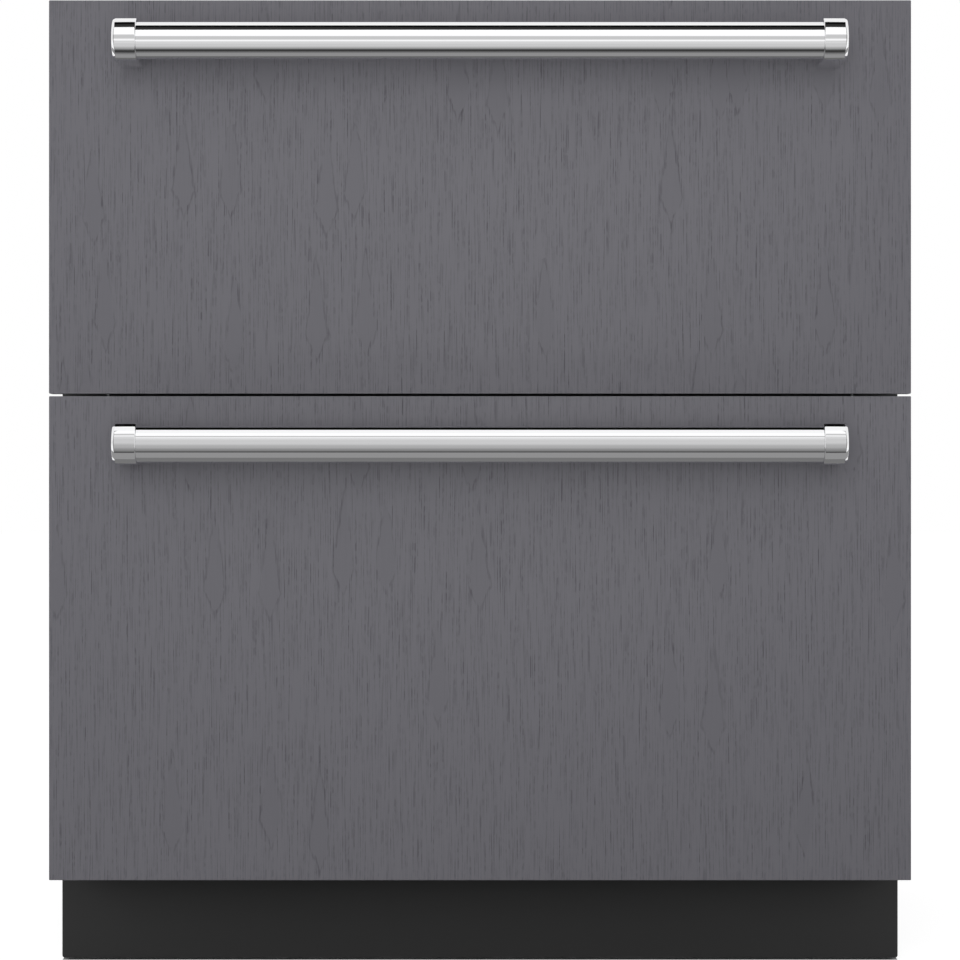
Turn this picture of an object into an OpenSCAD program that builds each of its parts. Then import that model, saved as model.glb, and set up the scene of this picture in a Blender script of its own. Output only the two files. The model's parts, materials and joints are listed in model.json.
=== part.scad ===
// Undercounter drawer refrigerator with two panel-faced drawers and bar handles.
// Millimetres. Origin: centre of the outer box at floor level. Front faces -Y, +Z is up.

/* [Drawer panels] */
// Width of both drawer panels
panel_w = 756; // [620:1:920]
// Thickness of a drawer panel
panel_t = 19; // [15:0.5:23]
// Height of the upper drawer panel
upper_panel_h = 345; // [285:1:420]
// Height of the lower drawer panel
lower_panel_h = 424.5; // [378:0.5:510]
// Gap between the two panels
panel_gap = 2.2; // [2:0.1:4]
// Floor to the underside of the lower panel
kick_space = 80.3; // [72:0.1:110]

/* [Handles] */
// Panel side edge to the end of the handle
handle_inset = 63; // [40:0.5:90]
// Panel top edge to the middle of the handle's brackets
handle_drop = 42.1; // [34:0.1:60]
// Panel face to the handle's axis
handle_standoff = 48; // [40:0.5:60]
// Outer diameter of the handle tube
handle_tube_d = 31.75; // [25:0.05:40]
// Wall of the handle tube
handle_tube_wall = 2; // [1:0.1:4]
// Metal of an end bracket round the tube
handle_bracket_wall = 2.4; // [1.5:0.1:4]
// Width of an end bracket along the handle
handle_bracket_w = 20.5; // [16:0.1:30]
// Depth of the socket that the tube sits in
handle_socket = 14; // [8:0.5:15]
// How far the tube's axis lies under the middle of its brackets
handle_tube_drop = 0.75; // [0:0.05:1]

/* [Cabinet] */
// How far a panel stands out past the cabinet's side
panel_overhang = 2.5; // [1:0.5:6]
// Cabinet face to cabinet back
cabinet_d = 539; // [445:1:650]
// Panel top edge to the cabinet top
top_reveal = 3; // [2:0.5:8]
// Outer sheet metal
sheet_t = 1.2; // [0.8:0.1:2]
// Plastic of the inner liner
liner_t = 2; // [1.5:0.1:3]
// Insulated side wall, outside to inside
side_wall = 42; // [36:1:55]
// Insulated top wall
top_wall = 37; // [32:1:50]
// Insulated back wall
back_wall = 45; // [38:1:60]
// Insulated floor
floor_wall = 44; // [36:1:46]
// Lower panel's underside to the liner floor
sill_h = 25.5; // [24:0.5:32]
// Height of the rail between the two drawers
mullion_h = 52; // [48:1:64]
// Depth of the rail between the two drawers
mullion_d = 45; // [30:1:60]
// Floor to the underside of the base pan
base_h = 30; // [26:0.5:32]
// Thickness of the base pan
base_t = 1.6; // [1.2:0.1:2.5]

/* [Machine compartment] */
// Depth, from the back of the cabinet
machine_d = 174; // [168:1:200]
// Base pan to the ceiling of the compartment
machine_h = 243; // [236:1:280]
// Insulation between the compartment and the liner
step_wall = 40; // [32:1:50]

/* [Drawers] */
// Thickness of the insulated drawer front
front_t = 38; // [32:1:50]
// Panel edge to the edge of the insulated front
front_inset = 6; // [5:0.5:9]
// Thickness of the closed gasket
seal_t = 8; // [6:0.5:12]
// Width of the gasket
seal_w = 12; // [9:0.5:14]
// Edge of the insulated front to the gasket
seal_inset = 4; // [3:0.5:5]
// Wall of a storage bin
bin_t = 2.5; // [2:0.1:4]
// Corner radius of a storage bin, seen from above
bin_r = 22; // [12:1:40]
// Liner floor or rail to the underside of a bin
bin_lift = 9; // [6:1:16]
// Space above the rim of a bin
bin_headroom = 46; // [40:1:70]
// Thickness of a divider
divider_t = 4; // [3:0.1:6]
// How far a divider stops below the rim
divider_drop = 14; // [8:1:40]

/* [Drawer slides] */
// Height of the outer slide member
slide_h = 45; // [40:0.5:50]
// Thickness of a closed slide
slide_w = 12.7; // [12.5:0.1:14]
// Sheet of the slide members
slide_t = 1.2; // [1:0.1:1.5]
// Balls between the outer and middle members
outer_ball_d = 4.8; // [4:0.1:5]
// Balls between the middle and inner members
inner_ball_d = 4; // [3.5:0.1:4.5]
// Rim of a bin to the centre of its slides
slide_drop = 34; // [30:1:44]
// Steel of the drawer carriers
carrier_t = 1.5; // [1.2:0.1:2]

/* [Levelling legs] */
// Diameter of the threaded rod
leg_rod_d = 10; // [8:1:12]
// Diameter of the foot pad
leg_pad_d = 38; // [30:1:50]
// Thickness of the foot pad
leg_pad_t = 8; // [5:0.5:10]
// Cabinet side to the leg's axis
leg_inset_x = 34; // [28:1:50]
// Cabinet face or back to the leg's axis
leg_inset_y = 42; // [34:1:60]

/* [Fans] */
// Diameter of the evaporator fan
evap_fan_d = 104; // [80:1:120]
// Diameter of the condenser fan
cond_fan_d = 136; // [110:1:140]
// Running gap round a fan
fan_gap = 3; // [2:0.5:5]

/* [Hidden] */
$fn = 64;
fit = 0.3;          // gap between pieces that move past each other
seat = 0.02;        // gap of a pushed-in piece in its socket
ball_gap = 0.1;     // running gap of a ball in its race
thread = 0.05;      // gap of a screw thread in its hole
over = 1;           // how far a cutter runs past what it cuts
rear_reach = 3;     // the deepest that anything stands out of the back

// Fans
fan_depth = 20;
ring_t = 3;         // wall of the ring round a fan
evap_hub_r = 17;
evap_shaft_r = 2;
cond_hub_r = 20;
cond_shaft_r = 3;

// Depth planes, front to back
bracket_r = handle_tube_d / 2 + handle_bracket_wall;
handle_reach = handle_standoff + bracket_r;
total_d = handle_reach + panel_t + front_t + seal_t + cabinet_d + rear_reach;
y_panel = -total_d / 2 + handle_reach;
y_front = y_panel + panel_t;
y_seal = y_front + front_t;
y_face = y_seal + seal_t;
y_back = y_face + cabinet_d;
y_liner = y_back - back_wall;          // inside of the liner's back wall
y_machine = y_back - machine_d;        // front of the machine compartment
y_step = y_machine - step_wall;        // inside of the liner's step

// Heights
z_lower = kick_space;
z_split = z_lower + lower_panel_h;
z_upper = z_split + panel_gap;
z_top = z_upper + upper_panel_h;
z_cab = z_top - top_reveal;
z_floor = z_lower + sill_h;
z_duct = z_floor - floor_wall;
z_ceil = z_cab - top_wall;
z_base = base_h + base_t;
z_machine = z_base + machine_h;
z_step = z_machine + step_wall;
z_mullion = (z_split + z_upper - mullion_h) / 2;

// Half widths
x_panel = panel_w / 2;
x_cab = x_panel - panel_overhang;
x_open = x_cab - side_wall;
x_liner = x_open + liner_t;
x_front = x_panel - front_inset;

// Handles
handle_len = panel_w - 2 * handle_inset;
tube_r = handle_tube_d / 2;
y_handle = y_panel - handle_standoff;
bracket_x = handle_len / 2 - handle_bracket_w;   // inner face of a bracket
screw_r = 2.4;
screw_head_r = 4.6;
screw_head_t = 3;
low_head_t = 1.5;                      // low heads where a bin passes close by
handle_screw_dz = 10;                  // handle screws above and below the axis
handle_screw_grip = 15;                // how far a handle screw reaches into a bracket
pilot_depth = 10;                      // blind holes in the panels and fronts

// Evaporator bay behind the bins
evap_bay = 53;
evap_cover_t = 2;
y_evap = y_liner - evap_bay;           // front of the evaporator cover
evap_cover_w = 2 * (x_open - 83);
evap_cover_z0 = z_step + 20;
evap_cover_z1 = z_ceil - 22;
evap_fan_z = evap_cover_z1 - evap_fan_d / 2 - 34;
evap_fan_y = y_evap + evap_cover_t + 4;
evap_coil_w = evap_cover_w - 80;
evap_coil_d = 38;
evap_row_h = 46;                       // its rows of tubes are at most this far apart
evap_coil_z0 = evap_cover_z0 + 24;
evap_coil_z1 = evap_fan_z - evap_fan_d / 2 - 26;

// Slides and bins
slide_start = y_face + 5;
slide_len = y_evap - slide_start - 36; // also the travel, at full extension
cage_len = slide_len / 2 - 10;
y_bin = y_seal + 3.5;
bin_rear_gap = 10;
bin_len_upper = y_evap - bin_rear_gap - y_bin;
bin_len_lower = y_step - bin_rear_gap - y_bin;
x_inner = x_open - slide_w;            // drawer side of a slide
x_bin = x_inner - carrier_t - 2 * fit; // outside of a bin's wall
rim_w = 9;
rim_t = 3;
upper_bin_z0 = z_mullion + mullion_h + bin_lift;
upper_bin_z1 = z_ceil - bin_headroom;
lower_bin_z0 = z_floor + bin_lift;
lower_bin_z1 = z_mullion - bin_headroom;
upper_slide_z = upper_bin_z1 - slide_drop;
lower_slide_z = lower_bin_z1 - slide_drop;

// Machine compartment
machine_mid = y_machine + (machine_d - sheet_t) / 2;
comp_x = x_liner - 135;
comp_r = 62;
comp_h = 112;
comp_foot_z = z_base + 12;
comp_foot_t = 3;
comp_foot = [156, 116];                // foot plate, across and in depth
comp_bolts = [for (x = [-66, 66], y = [-46, 46]) [comp_x + x, machine_mid + y]];
comp_bolt_r = 7;
comp_top = comp_foot_z + comp_h + 41;  // top of the shell
stub_z = comp_top + 8;                 // top of its pipe stubs
stub_dx = 12;                          // stubs left and right of the shell's axis
fan_x = comp_x - 152;
cond_fan_z = z_base + 118;
cond_x0 = -x_liner + 145;
cond_x1 = fan_x - 38;
cond_z0 = z_base + 26;
cond_z1 = z_base + 206;
cond_y0 = y_machine + 22;
cond_y1 = y_back - 26;
cond_rows = 7;
cond_cols = 3;
coil_out = 8;                          // how far a coil's tubes pass its fins
coil_tube_r = 4;
coil_bend_r = coil_tube_r + 0.5;
header_r = coil_tube_r + 1.5;
stub_r = coil_tube_r + 0.5;
header_rise = header_r + 8;            // a header's stub, from its axis up
cond_pitch = (cond_z1 - cond_z0) / cond_rows;
cond_low_z = cond_z0 + cond_pitch / 2;
cond_high_z = cond_z1 - cond_pitch / 2;
cond_in = [cond_x1 + coil_out, machine_mid];        // stub of the upper header
cond_out = [cond_x0 - coil_out, cond_y0 - 8];       // stub of the lower header
control_box_x0 = -x_liner + 14;
control_box_x1 = -x_liner + 107;
gland_x = -x_liner + 73;
gland_z = z_base + 42;
gland_bore_r = 4.2;
gland_r = 9;
gland_flange_r = 12;
gland_len = 18;

// Screws of the back and the rear cover
back_screw_r = 2;
back_screw_x = x_cab - sheet_t - 8;
back_screw_z = [
    z_base + 40, z_machine - 16, z_machine + 60, (z_machine + z_cab) / 2, z_cab - 60
];
rear_return = 16;                      // side panels' flanges behind the back

// Control panel under the cabinet's ceiling
control_w = 190;
control_d = 44;
control_t = 12;
y_control = y_face + 12;
button_r = 6;
button_travel = 1;
button_x = [-54, -18, 18];

// Base and legs
boss_r = 12;
boss_h = 18;
leg_hex = 17;
leg_top = z_duct - sheet_t - 1.5;
leg_x = x_cab - leg_inset_x;
leg_y0 = y_face + leg_inset_y;
leg_y1 = y_back - leg_inset_y;

// Kick plate
kick_floor_gap = 1.8;
kick_lap = 3.5;                        // how far it runs up behind the lower panel
kick_h = kick_space + kick_lap - kick_floor_gap;
kick_corner = 2.5;
kick_return = 14;

// ---------------------------------------------------------------- helpers

// A box between two corners.
module span(lo, hi) {
    translate(lo) cube(hi - lo);
}

// A rod from p along +Y.
module rod_y(p, r, h) {
    translate(p) rotate([-90, 0, 0]) cylinder(r = r, h = h);
}

// A rod from p along +X.
module rod_x(p, r, h) {
    translate(p) rotate([0, 90, 0]) cylinder(r = r, h = h);
}

// A rectangle with round corners, centred across and starting at y = 0.
module round_rect(w, l, r) {
    translate([-w / 2 + r, 0]) square([w - 2 * r, l]);
    translate([-w / 2, r]) square([w, l - 2 * r]);
    for (x = [-1, 1], y = [r, l - r])
        translate([x * (w / 2 - r), y]) circle(r);
}

// Holes for the screws of the back, through the sheets from y0 on.
module back_screw_holes(y0, depth) {
    for (side = [-1, 1], z = back_screw_z)
        rod_y([side * back_screw_x, y0 - over, z], back_screw_r + seat, depth + 2 * over);
}

// A pipe through a list of points, with round elbows.
module pipe(points, r) {
    for (i = [0 : len(points) - 2]) {
        run = points[i + 1] - points[i];
        length = norm(run);
        translate(points[i])
            rotate([0, acos(run[2] / length), atan2(run[1], run[0])])
                cylinder(r = r, h = length);
    }
    for (i = [1 : len(points) - 2])
        translate(points[i]) sphere(r);
}

// A frame in the plane of the cabinet face: outer box less a border.
module face_ring(x, z0, z1, w, y0, y1) {
    difference() {
        span([-x, y0, z0], [x, y1, z1]);
        span([-x + w, y0 - over, z0 + w], [x - w, y1 + over, z1 - w]);
    }
}

// ---------------------------------------------------------------- cabinet shell

// One outer side: web, front flange over the insulation and rear return.
module side_panel(side) {
    difference() {
        mirror([side < 0 ? 1 : 0, 0, 0]) {
            span([x_cab - sheet_t, y_face, base_h], [x_cab, y_back, z_cab]);
            span([x_liner, y_face, z_duct], [x_cab, y_face + sheet_t, z_cab - sheet_t]);
            span([x_cab - rear_return, y_back - 2 * sheet_t, z_base],
                 [x_cab, y_back - sheet_t, z_cab - sheet_t]);
        }
        back_screw_holes(y_back - 2 * sheet_t, sheet_t);
    }
}

module left_side_panel() {
    color("dimgray") side_panel(-1);
}

module right_side_panel() {
    color("dimgray") side_panel(1);
}

module top_panel() {
    x = x_cab - sheet_t;
    color("dimgray") {
        span([-x, y_face, z_cab - sheet_t], [x, y_back - sheet_t, z_cab]);
        span([-x_liner, y_face, z_ceil + liner_t], [x_liner, y_face + sheet_t, z_cab]);
    }
}

// The fixed back over the insulation.
module back_panel() {
    x = x_cab - sheet_t;
    color("silver") difference() {
        span([-x, y_back - sheet_t, z_machine], [x, y_back, z_cab]);
        back_screw_holes(y_back - sheet_t, sheet_t);
    }
}

// Floor of the cabinet, with the threaded bosses that take the legs and a front hem.
module base_pan() {
    x = x_cab - sheet_t;
    hem = 14;
    color("gray") difference() {
        union() {
            span([-x, y_face + sheet_t, base_h], [x, y_back, z_base]);
            span([-x, y_face + sheet_t, base_h], [x, y_face + 2 * sheet_t, base_h + hem]);
            for (sx = [-1, 1], y = [leg_y0, leg_y1])
                translate([sx * leg_x, y, base_h]) cylinder(r = boss_r, h = boss_h);
        }
        for (sx = [-1, 1], y = [leg_y0, leg_y1])
            translate([sx * leg_x, y, base_h - over])
                cylinder(r = leg_rod_d / 2 + thread, h = boss_h + 2 * over);
    }
}

// Foamed-in insulation, as the slabs between the outer sheets and the liner.
module foam_insulation() {
    x0 = x_liner;
    x1 = x_cab - sheet_t;
    y0 = y_face + sheet_t;
    y1 = y_back - 2 * sheet_t;
    z1 = z_cab - sheet_t;
    yl = y_liner + liner_t;
    xr = x_cab - rear_return;
    color("khaki") {
        span([-x_open, y0, z_mullion + sheet_t],
             [x_open, y_face + mullion_d - sheet_t, z_mullion + mullion_h - sheet_t]);
        span([-xr, y1, z_machine], [xr, y_back - sheet_t, z1]);
        for (side = [0, 1]) mirror([side, 0, 0])
            span([x0, y0, z_duct], [x1, y1, z1]);
        span([-x0, y0, z_ceil + liner_t], [x0, y1, z1]);
        span([-x0, yl, z_step - liner_t], [x0, y1, z_ceil + liner_t]);
        span([-x0, y_step + liner_t, z_machine], [x0, y1, z_step - liner_t]);
        span([-x0, y_step + liner_t, z_duct], [x0, y_machine, z_machine]);
        span([-x0, y0, z_duct], [x0, y_step + liner_t, z_floor - liner_t]);
    }
}

// Side view of the liner's space, grown by g everywhere but at the front.
module liner_profile(g) {
    polygon([
        [y_face, z_floor - g], [y_step + g, z_floor - g], [y_step + g, z_step - g],
        [y_liner + g, z_step - g], [y_liner + g, z_ceil + g], [y_face, z_ceil + g]
    ]);
}

// The liner: one moulding, stepped over the machine compartment.
module inner_liner() {
    color("whitesmoke") difference() {
        rotate([90, 0, 90]) translate([0, 0, -x_liner])
            linear_extrude(2 * x_liner) liner_profile(liner_t);
        rotate([90, 0, 90]) translate([0, 0, -x_open])
            linear_extrude(2 * x_open) union() {
                liner_profile(0);
                translate([y_face - over, z_floor]) square([2 * over, z_ceil - z_floor]);
            }
    }
}

// The foam-filled rail between the drawers, and the sill with the air duct's ceiling.
module front_rails() {
    color("dimgray") {
        difference() {
            span([-x_open, y_face, z_mullion],
                 [x_open, y_face + mullion_d, z_mullion + mullion_h]);
            span([-x_open - over, y_face + sheet_t, z_mullion + sheet_t],
                 [x_open + over, y_face + mullion_d - sheet_t,
                  z_mullion + mullion_h - sheet_t]);
        }
        span([-x_liner, y_face, z_duct], [x_liner, y_face + sheet_t, z_floor - liner_t]);
        span([-x_cab + sheet_t, y_face, z_duct - sheet_t],
             [x_cab - sheet_t, y_machine, z_duct]);
    }
}

// Black plate under the lower drawer, with returns at its top, sides and foot.
module kick_plate() {
    y0 = y_face - fit - sheet_t;
    leg = kick_return;
    color([0.16, 0.16, 0.16]) {
        translate([0, y0 + sheet_t, 0]) rotate([90, 0, 0]) linear_extrude(sheet_t) union() {
            translate([-x_cab, kick_floor_gap + kick_corner])
                square([2 * x_cab, kick_h - kick_corner]);
            translate([-x_cab + kick_corner, kick_floor_gap])
                square([2 * (x_cab - kick_corner), kick_h]);
            for (side = [-1, 1])
                translate([side * (x_cab - kick_corner), kick_floor_gap + kick_corner])
                    circle(kick_corner);
        }
        span([-x_cab + kick_corner, y0 + sheet_t, kick_floor_gap],
             [x_cab - kick_corner, y0 + leg, kick_floor_gap + sheet_t]);
        for (side = [-1, 1])
            translate([side * (x_cab - 60), y0 + sheet_t, base_h - 10])
                span([-15, 0, 0], [15, leg, 10]);
    }
}

// ---------------------------------------------------------------- back

// Removable cover of the machine compartment, with air slots and the cord gland's hole.
module rear_cover() {
    x = x_cab - sheet_t;
    slot_spacing = 2 * x_liner / 3 - 24;
    slot_w = slot_spacing - 50;
    slot_h = 6;
    pitch = 15;
    rows = 11;
    first = z_base + 66;
    color("silver") difference() {
        span([-x, y_back - sheet_t, z_base], [x, y_back, z_machine - fit]);
        for (row = [0 : rows - 1], col = [-1 : 1])
            translate([col * slot_spacing - slot_w / 2, y_back - sheet_t - over,
                       first + row * pitch])
                cube([slot_w, sheet_t + 2 * over, slot_h]);
        rod_y([gland_x, y_back - sheet_t - over, gland_z], gland_r + seat, sheet_t + 2 * over);
        back_screw_holes(y_back - sheet_t, sheet_t);
    }
}

// Strain-relief bush that the power cord passes through.
module cord_gland() {
    flange = rear_reach;
    color("black") difference() {
        union() {
            rod_y([gland_x, y_back, gland_z], gland_flange_r, flange);
            rod_y([gland_x, y_back + flange - gland_len, gland_z], gland_r, gland_len);
            rod_y([gland_x, y_back - sheet_t - flange, gland_z], gland_flange_r, flange);
        }
        rod_y([gland_x, y_back - gland_len, gland_z], gland_bore_r, 2 * gland_len);
    }
}

// Screws of the back and the rear cover, all alike.
module cabinet_screws() {
    head_r = 4;
    head_t = 2;
    color("silver") for (side = [-1, 1], z = back_screw_z)
        translate([side * back_screw_x, y_back - 2 * sheet_t, z]) {
            rod_y([0, 2 * sheet_t, 0], head_r, head_t);
            rod_y([0, 0, 0], back_screw_r, 2 * sheet_t);
        }
}

// Flat tabs on the cabinet top, whose front holes take screws up into the counter.
module counter_brackets() {
    w = 60;
    reach = 22;
    grip = 60;
    t = 1.5;
    hole_r = 2.75;
    bracket_at = x_cab - 85;
    color("silver") for (side = [-1, 1]) difference() {
        translate([side * bracket_at - w / 2, y_face - reach, z_cab]) cube([w, reach + grip, t]);
        translate([side * bracket_at, y_face - reach / 2 - 1, z_cab - over])
            cylinder(r = hole_r, h = t + 2 * over);
    }
}

// ---------------------------------------------------------------- cooling

// Serpentine tubes through flat fins. The block spans lo to hi; tubes run along X, and
// return bends lap over their ends.
module fin_coil(lo, hi, fins, rows, cols) {
    fin_t = 1;
    bend_out = coil_out - 2;
    pitch = (hi[0] - lo[0] - fin_t) / (fins - 1);
    dz = (hi[2] - lo[2]) / rows;
    dy = (hi[1] - lo[1]) / cols;
    for (i = [0 : fins - 1])
        span([lo[0] + i * pitch, lo[1], lo[2]], [lo[0] + i * pitch + fin_t, hi[1], hi[2]]);
    for (c = [0 : cols - 1], r = [0 : rows - 1])
        rod_x([lo[0] - coil_out, lo[1] + (c + 0.5) * dy, lo[2] + (r + 0.5) * dz],
              coil_tube_r, hi[0] - lo[0] + 2 * coil_out);
    for (c = [0 : cols - 1], r = [0 : rows - 2])
        translate([r % 2 == 0 ? hi[0] + bend_out : lo[0] - bend_out,
                   lo[1] + (c + 0.5) * dy, lo[2] + (r + 1) * dz])
            rotate([90, 0, 0]) rotate([0, 0, r % 2 == 0 ? -90 : 90])
                rotate_extrude(angle = 180) translate([dz / 2, 0]) circle(coil_bend_r);
}

// The evaporator on its two straps. Headers join its columns and leave through the wall.
module evaporator_coil() {
    back = y_liner - 6;
    front = back - evap_coil_d;
    rows = 2 * ceil((evap_coil_z1 - evap_coil_z0) / (2 * evap_row_h));
    strap_w = 16;
    dz = (evap_coil_z1 - evap_coil_z0) / rows;
    color("silver") {
        fin_coil([-evap_coil_w / 2, front, evap_coil_z0], [evap_coil_w / 2, back, evap_coil_z1],
                 29, rows, 2);
        for (side = [-1, 1])
            translate([side * evap_coil_w / 4 - strap_w / 2, back, evap_coil_z0])
                span([0, 0, 0], [strap_w, y_liner - back, evap_coil_z1 - evap_coil_z0]);
        for (z = [evap_coil_z0 + dz / 2, evap_coil_z1 - dz / 2])
            rod_y([-evap_coil_w / 2 - coil_out, front + 3, z], header_r, y_liner - front - 3);
    }
}

// Tray over the evaporator: fan opening at the top, return slots at the foot.
module evaporator_cover() {
    w = evap_cover_w / 2;
    slots = 9;
    pitch = (evap_cover_w - 68) / slots;
    slot_w = pitch - 16;
    t = evap_cover_t;
    color("whitesmoke") difference() {
        span([-w, y_evap, evap_cover_z0], [w, y_liner, evap_cover_z1]);
        span([-w + t, y_evap + t, evap_cover_z0 + t], [w - t, y_liner + over, evap_cover_z1 - t]);
        for (i = [0 : slots - 1], row = [0, 1])
            translate([(i - (slots - 1) / 2) * pitch - slot_w / 2, y_evap - over,
                       evap_cover_z0 + 12 + row * 14])
                cube([slot_w, t + 2 * over, 6]);
        rod_y([0, y_evap - over, evap_fan_z], evap_fan_d / 2 + fan_gap, t + 2 * over);
    }
}

// Motor on three spokes, with the ring that the evaporator fan runs in.
module evaporator_fan_motor() {
    ring_r = evap_fan_d / 2 + fan_gap;
    ring_d = 34;
    spoke = [ring_r + 1, 4, 6];
    y0 = y_evap + evap_cover_t;
    motor_y = evap_fan_y + fan_depth + 2;
    color([0.2, 0.2, 0.22]) {
        difference() {
            rod_y([0, y0, evap_fan_z], ring_r + ring_t, ring_d);
            rod_y([0, y0 - over, evap_fan_z], ring_r, ring_d + 2 * over);
        }
        for (i = [0 : 2])
            translate([0, motor_y + 2, evap_fan_z]) rotate([0, 120 * i + 90, 0])
                translate([0, 0, -spoke[2] / 2]) cube(spoke);
        rod_y([0, motor_y, evap_fan_z], evap_hub_r, y_liner - motor_y);
        rod_y([0, evap_fan_y + 4, evap_fan_z], evap_shaft_r, motor_y - evap_fan_y - 4 + over);
    }
}

// Fan wheel with pitched, flaring blades, turning about +Y through the origin.
module fan_wheel(r, hub_r, shaft_r) {
    blades = 5;
    pitch_angle = 34;
    blade_t = 1.6;
    root_w = hub_r * 0.9;
    tip_w = fan_depth / sin(pitch_angle) - 2 * blade_t;
    difference() {
        union() {
            rod_y([0, 0, 0], hub_r, fan_depth);
            intersection() {
                for (i = [0 : blades - 1])
                    rotate([0, 360 / blades * i, 0]) translate([0, fan_depth / 2, 0])
                        rotate([90, 0, pitch_angle]) translate([0, 0, -blade_t / 2])
                            linear_extrude(blade_t) polygon([
                                [-root_w / 2, hub_r - 3], [root_w / 2, hub_r - 3],
                                [tip_w / 2, r], [-tip_w / 2, r]
                            ]);
                rod_y([0, 0, 0], r, fan_depth);
            }
        }
        rod_y([0, 2, 0], shaft_r + thread, fan_depth);
    }
}

module evaporator_fan() {
    color([0.3, 0.3, 0.32]) translate([0, evap_fan_y, evap_fan_z])
        fan_wheel(evap_fan_d / 2, evap_hub_r, evap_shaft_r);
}

// Hermetic shell on a foot plate, with its terminal box and two pipe stubs.
module compressor() {
    shoulder = 16;
    terminal = [28, 52, 56];
    bottom = comp_foot_z + comp_foot_t;
    crown = comp_top - bottom;
    color("black") difference() {
        translate([comp_x, machine_mid, bottom]) {
            rotate_extrude() polygon([
                [0, 0], [comp_r - shoulder, 0], [comp_r, 14], [comp_r, comp_h * 0.6],
                [comp_r + 4, comp_h * 0.6], [comp_r + 4, comp_h * 0.6 + 4],
                [comp_r, comp_h * 0.6 + 4], [comp_r, comp_h + 8], [comp_r - 6, comp_h + 20],
                [comp_r - 22, comp_h + 30], [2 * shoulder, crown], [0, crown]
            ]);
            translate([-comp_foot[0] / 2, -comp_foot[1] / 2, -comp_foot_t])
                cube([comp_foot[0], comp_foot[1], comp_foot_t + over]);
            translate([comp_r - 6, -terminal[1] / 2, 40]) cube(terminal);
            for (dx = [-stub_dx, stub_dx])
                translate([dx, 0, crown - over]) cylinder(r = 6, h = stub_z - comp_top + over);
        }
        for (p = comp_bolts)
            translate([p[0], p[1], comp_foot_z - over])
                cylinder(r = comp_bolt_r, h = comp_foot_t + 4 * over);
    }
}

module compressor_grommets() {
    color("black") for (p = comp_bolts)
        translate([p[0], p[1], z_base]) {
            cylinder(r = comp_bolt_r + 4, h = comp_foot_z - z_base);
            cylinder(r = comp_bolt_r - seat, h = comp_foot_z - z_base + 9);
        }
}

// The condenser on its two feet, with a header at each end of its columns.
module condenser_coil() {
    dy = (cond_y1 - cond_y0) / cond_cols;
    first = cond_y0 + dy / 2;
    last = cond_y1 - dy / 2;
    cap = header_r + 0.5;              // a header's end past its last tube or stub
    foot_t = 2;
    foot_inset = 4;
    color("black") {
        fin_coil([cond_x0, cond_y0, cond_z0], [cond_x1, cond_y1, cond_z1], 25, cond_rows,
                 cond_cols);
        for (x = [cond_x0, cond_x1 - foot_t])
            span([x, cond_y0 + foot_inset, z_base],
                 [x + foot_t, cond_y1 - foot_inset, cond_z0 + over]);
        rod_y([cond_in[0], first - cap, cond_high_z], header_r, last - first + 2 * cap);
        translate([cond_in[0], cond_in[1], cond_high_z]) cylinder(r = stub_r, h = header_rise);
        rod_y([cond_out[0], cond_out[1] - cap, cond_low_z], header_r,
              last - cond_out[1] + 2 * cap);
        translate([cond_out[0], cond_out[1], cond_low_z]) cylinder(r = stub_r, h = header_rise);
    }
}

// Shroud and ring, with the motor held behind the condenser fan. Air moves along +X.
module condenser_fan_motor() {
    ring_r = cond_fan_d / 2 + fan_gap;
    ring_d = 30;
    plate_x = fan_x - 4;
    strut_x = plate_x + ring_d;
    motor_x = fan_x + fan_depth + 2;
    color([0.2, 0.2, 0.22]) {
        difference() {
            union() {
                span([plate_x, y_machine + 6, z_base],
                     [plate_x + 3, y_back - 8, cond_fan_z + ring_r + 8]);
                rod_x([plate_x, machine_mid, cond_fan_z], ring_r + ring_t, ring_d);
            }
            rod_x([plate_x - over, machine_mid, cond_fan_z], ring_r, ring_d + 2 * over);
        }
        span([strut_x - 4, machine_mid - ring_r - 1, cond_fan_z - 4],
             [strut_x - 1, machine_mid + ring_r + 1, cond_fan_z + 4]);
        rod_x([motor_x, machine_mid, cond_fan_z], cond_hub_r + 2, 38);
        rod_x([fan_x + 4, machine_mid, cond_fan_z], cond_shaft_r, motor_x - fan_x - 4 + over);
    }
}

module condenser_fan() {
    color([0.3, 0.3, 0.32]) translate([fan_x, machine_mid, cond_fan_z])
        rotate([0, 0, -90]) fan_wheel(cond_fan_d / 2, cond_hub_r, cond_shaft_r);
}

// Shallow tray that catches and evaporates the meltwater.
module drain_pan() {
    lo = [cond_x0 + 6, y_machine + 30, z_base];
    hi = [cond_x1 - 6, y_back - 34, z_base + 20];
    color("whitesmoke") difference() {
        span(lo, hi);
        span(lo + [2, 2, 2], hi + [-2, -2, over]);
    }
}

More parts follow.
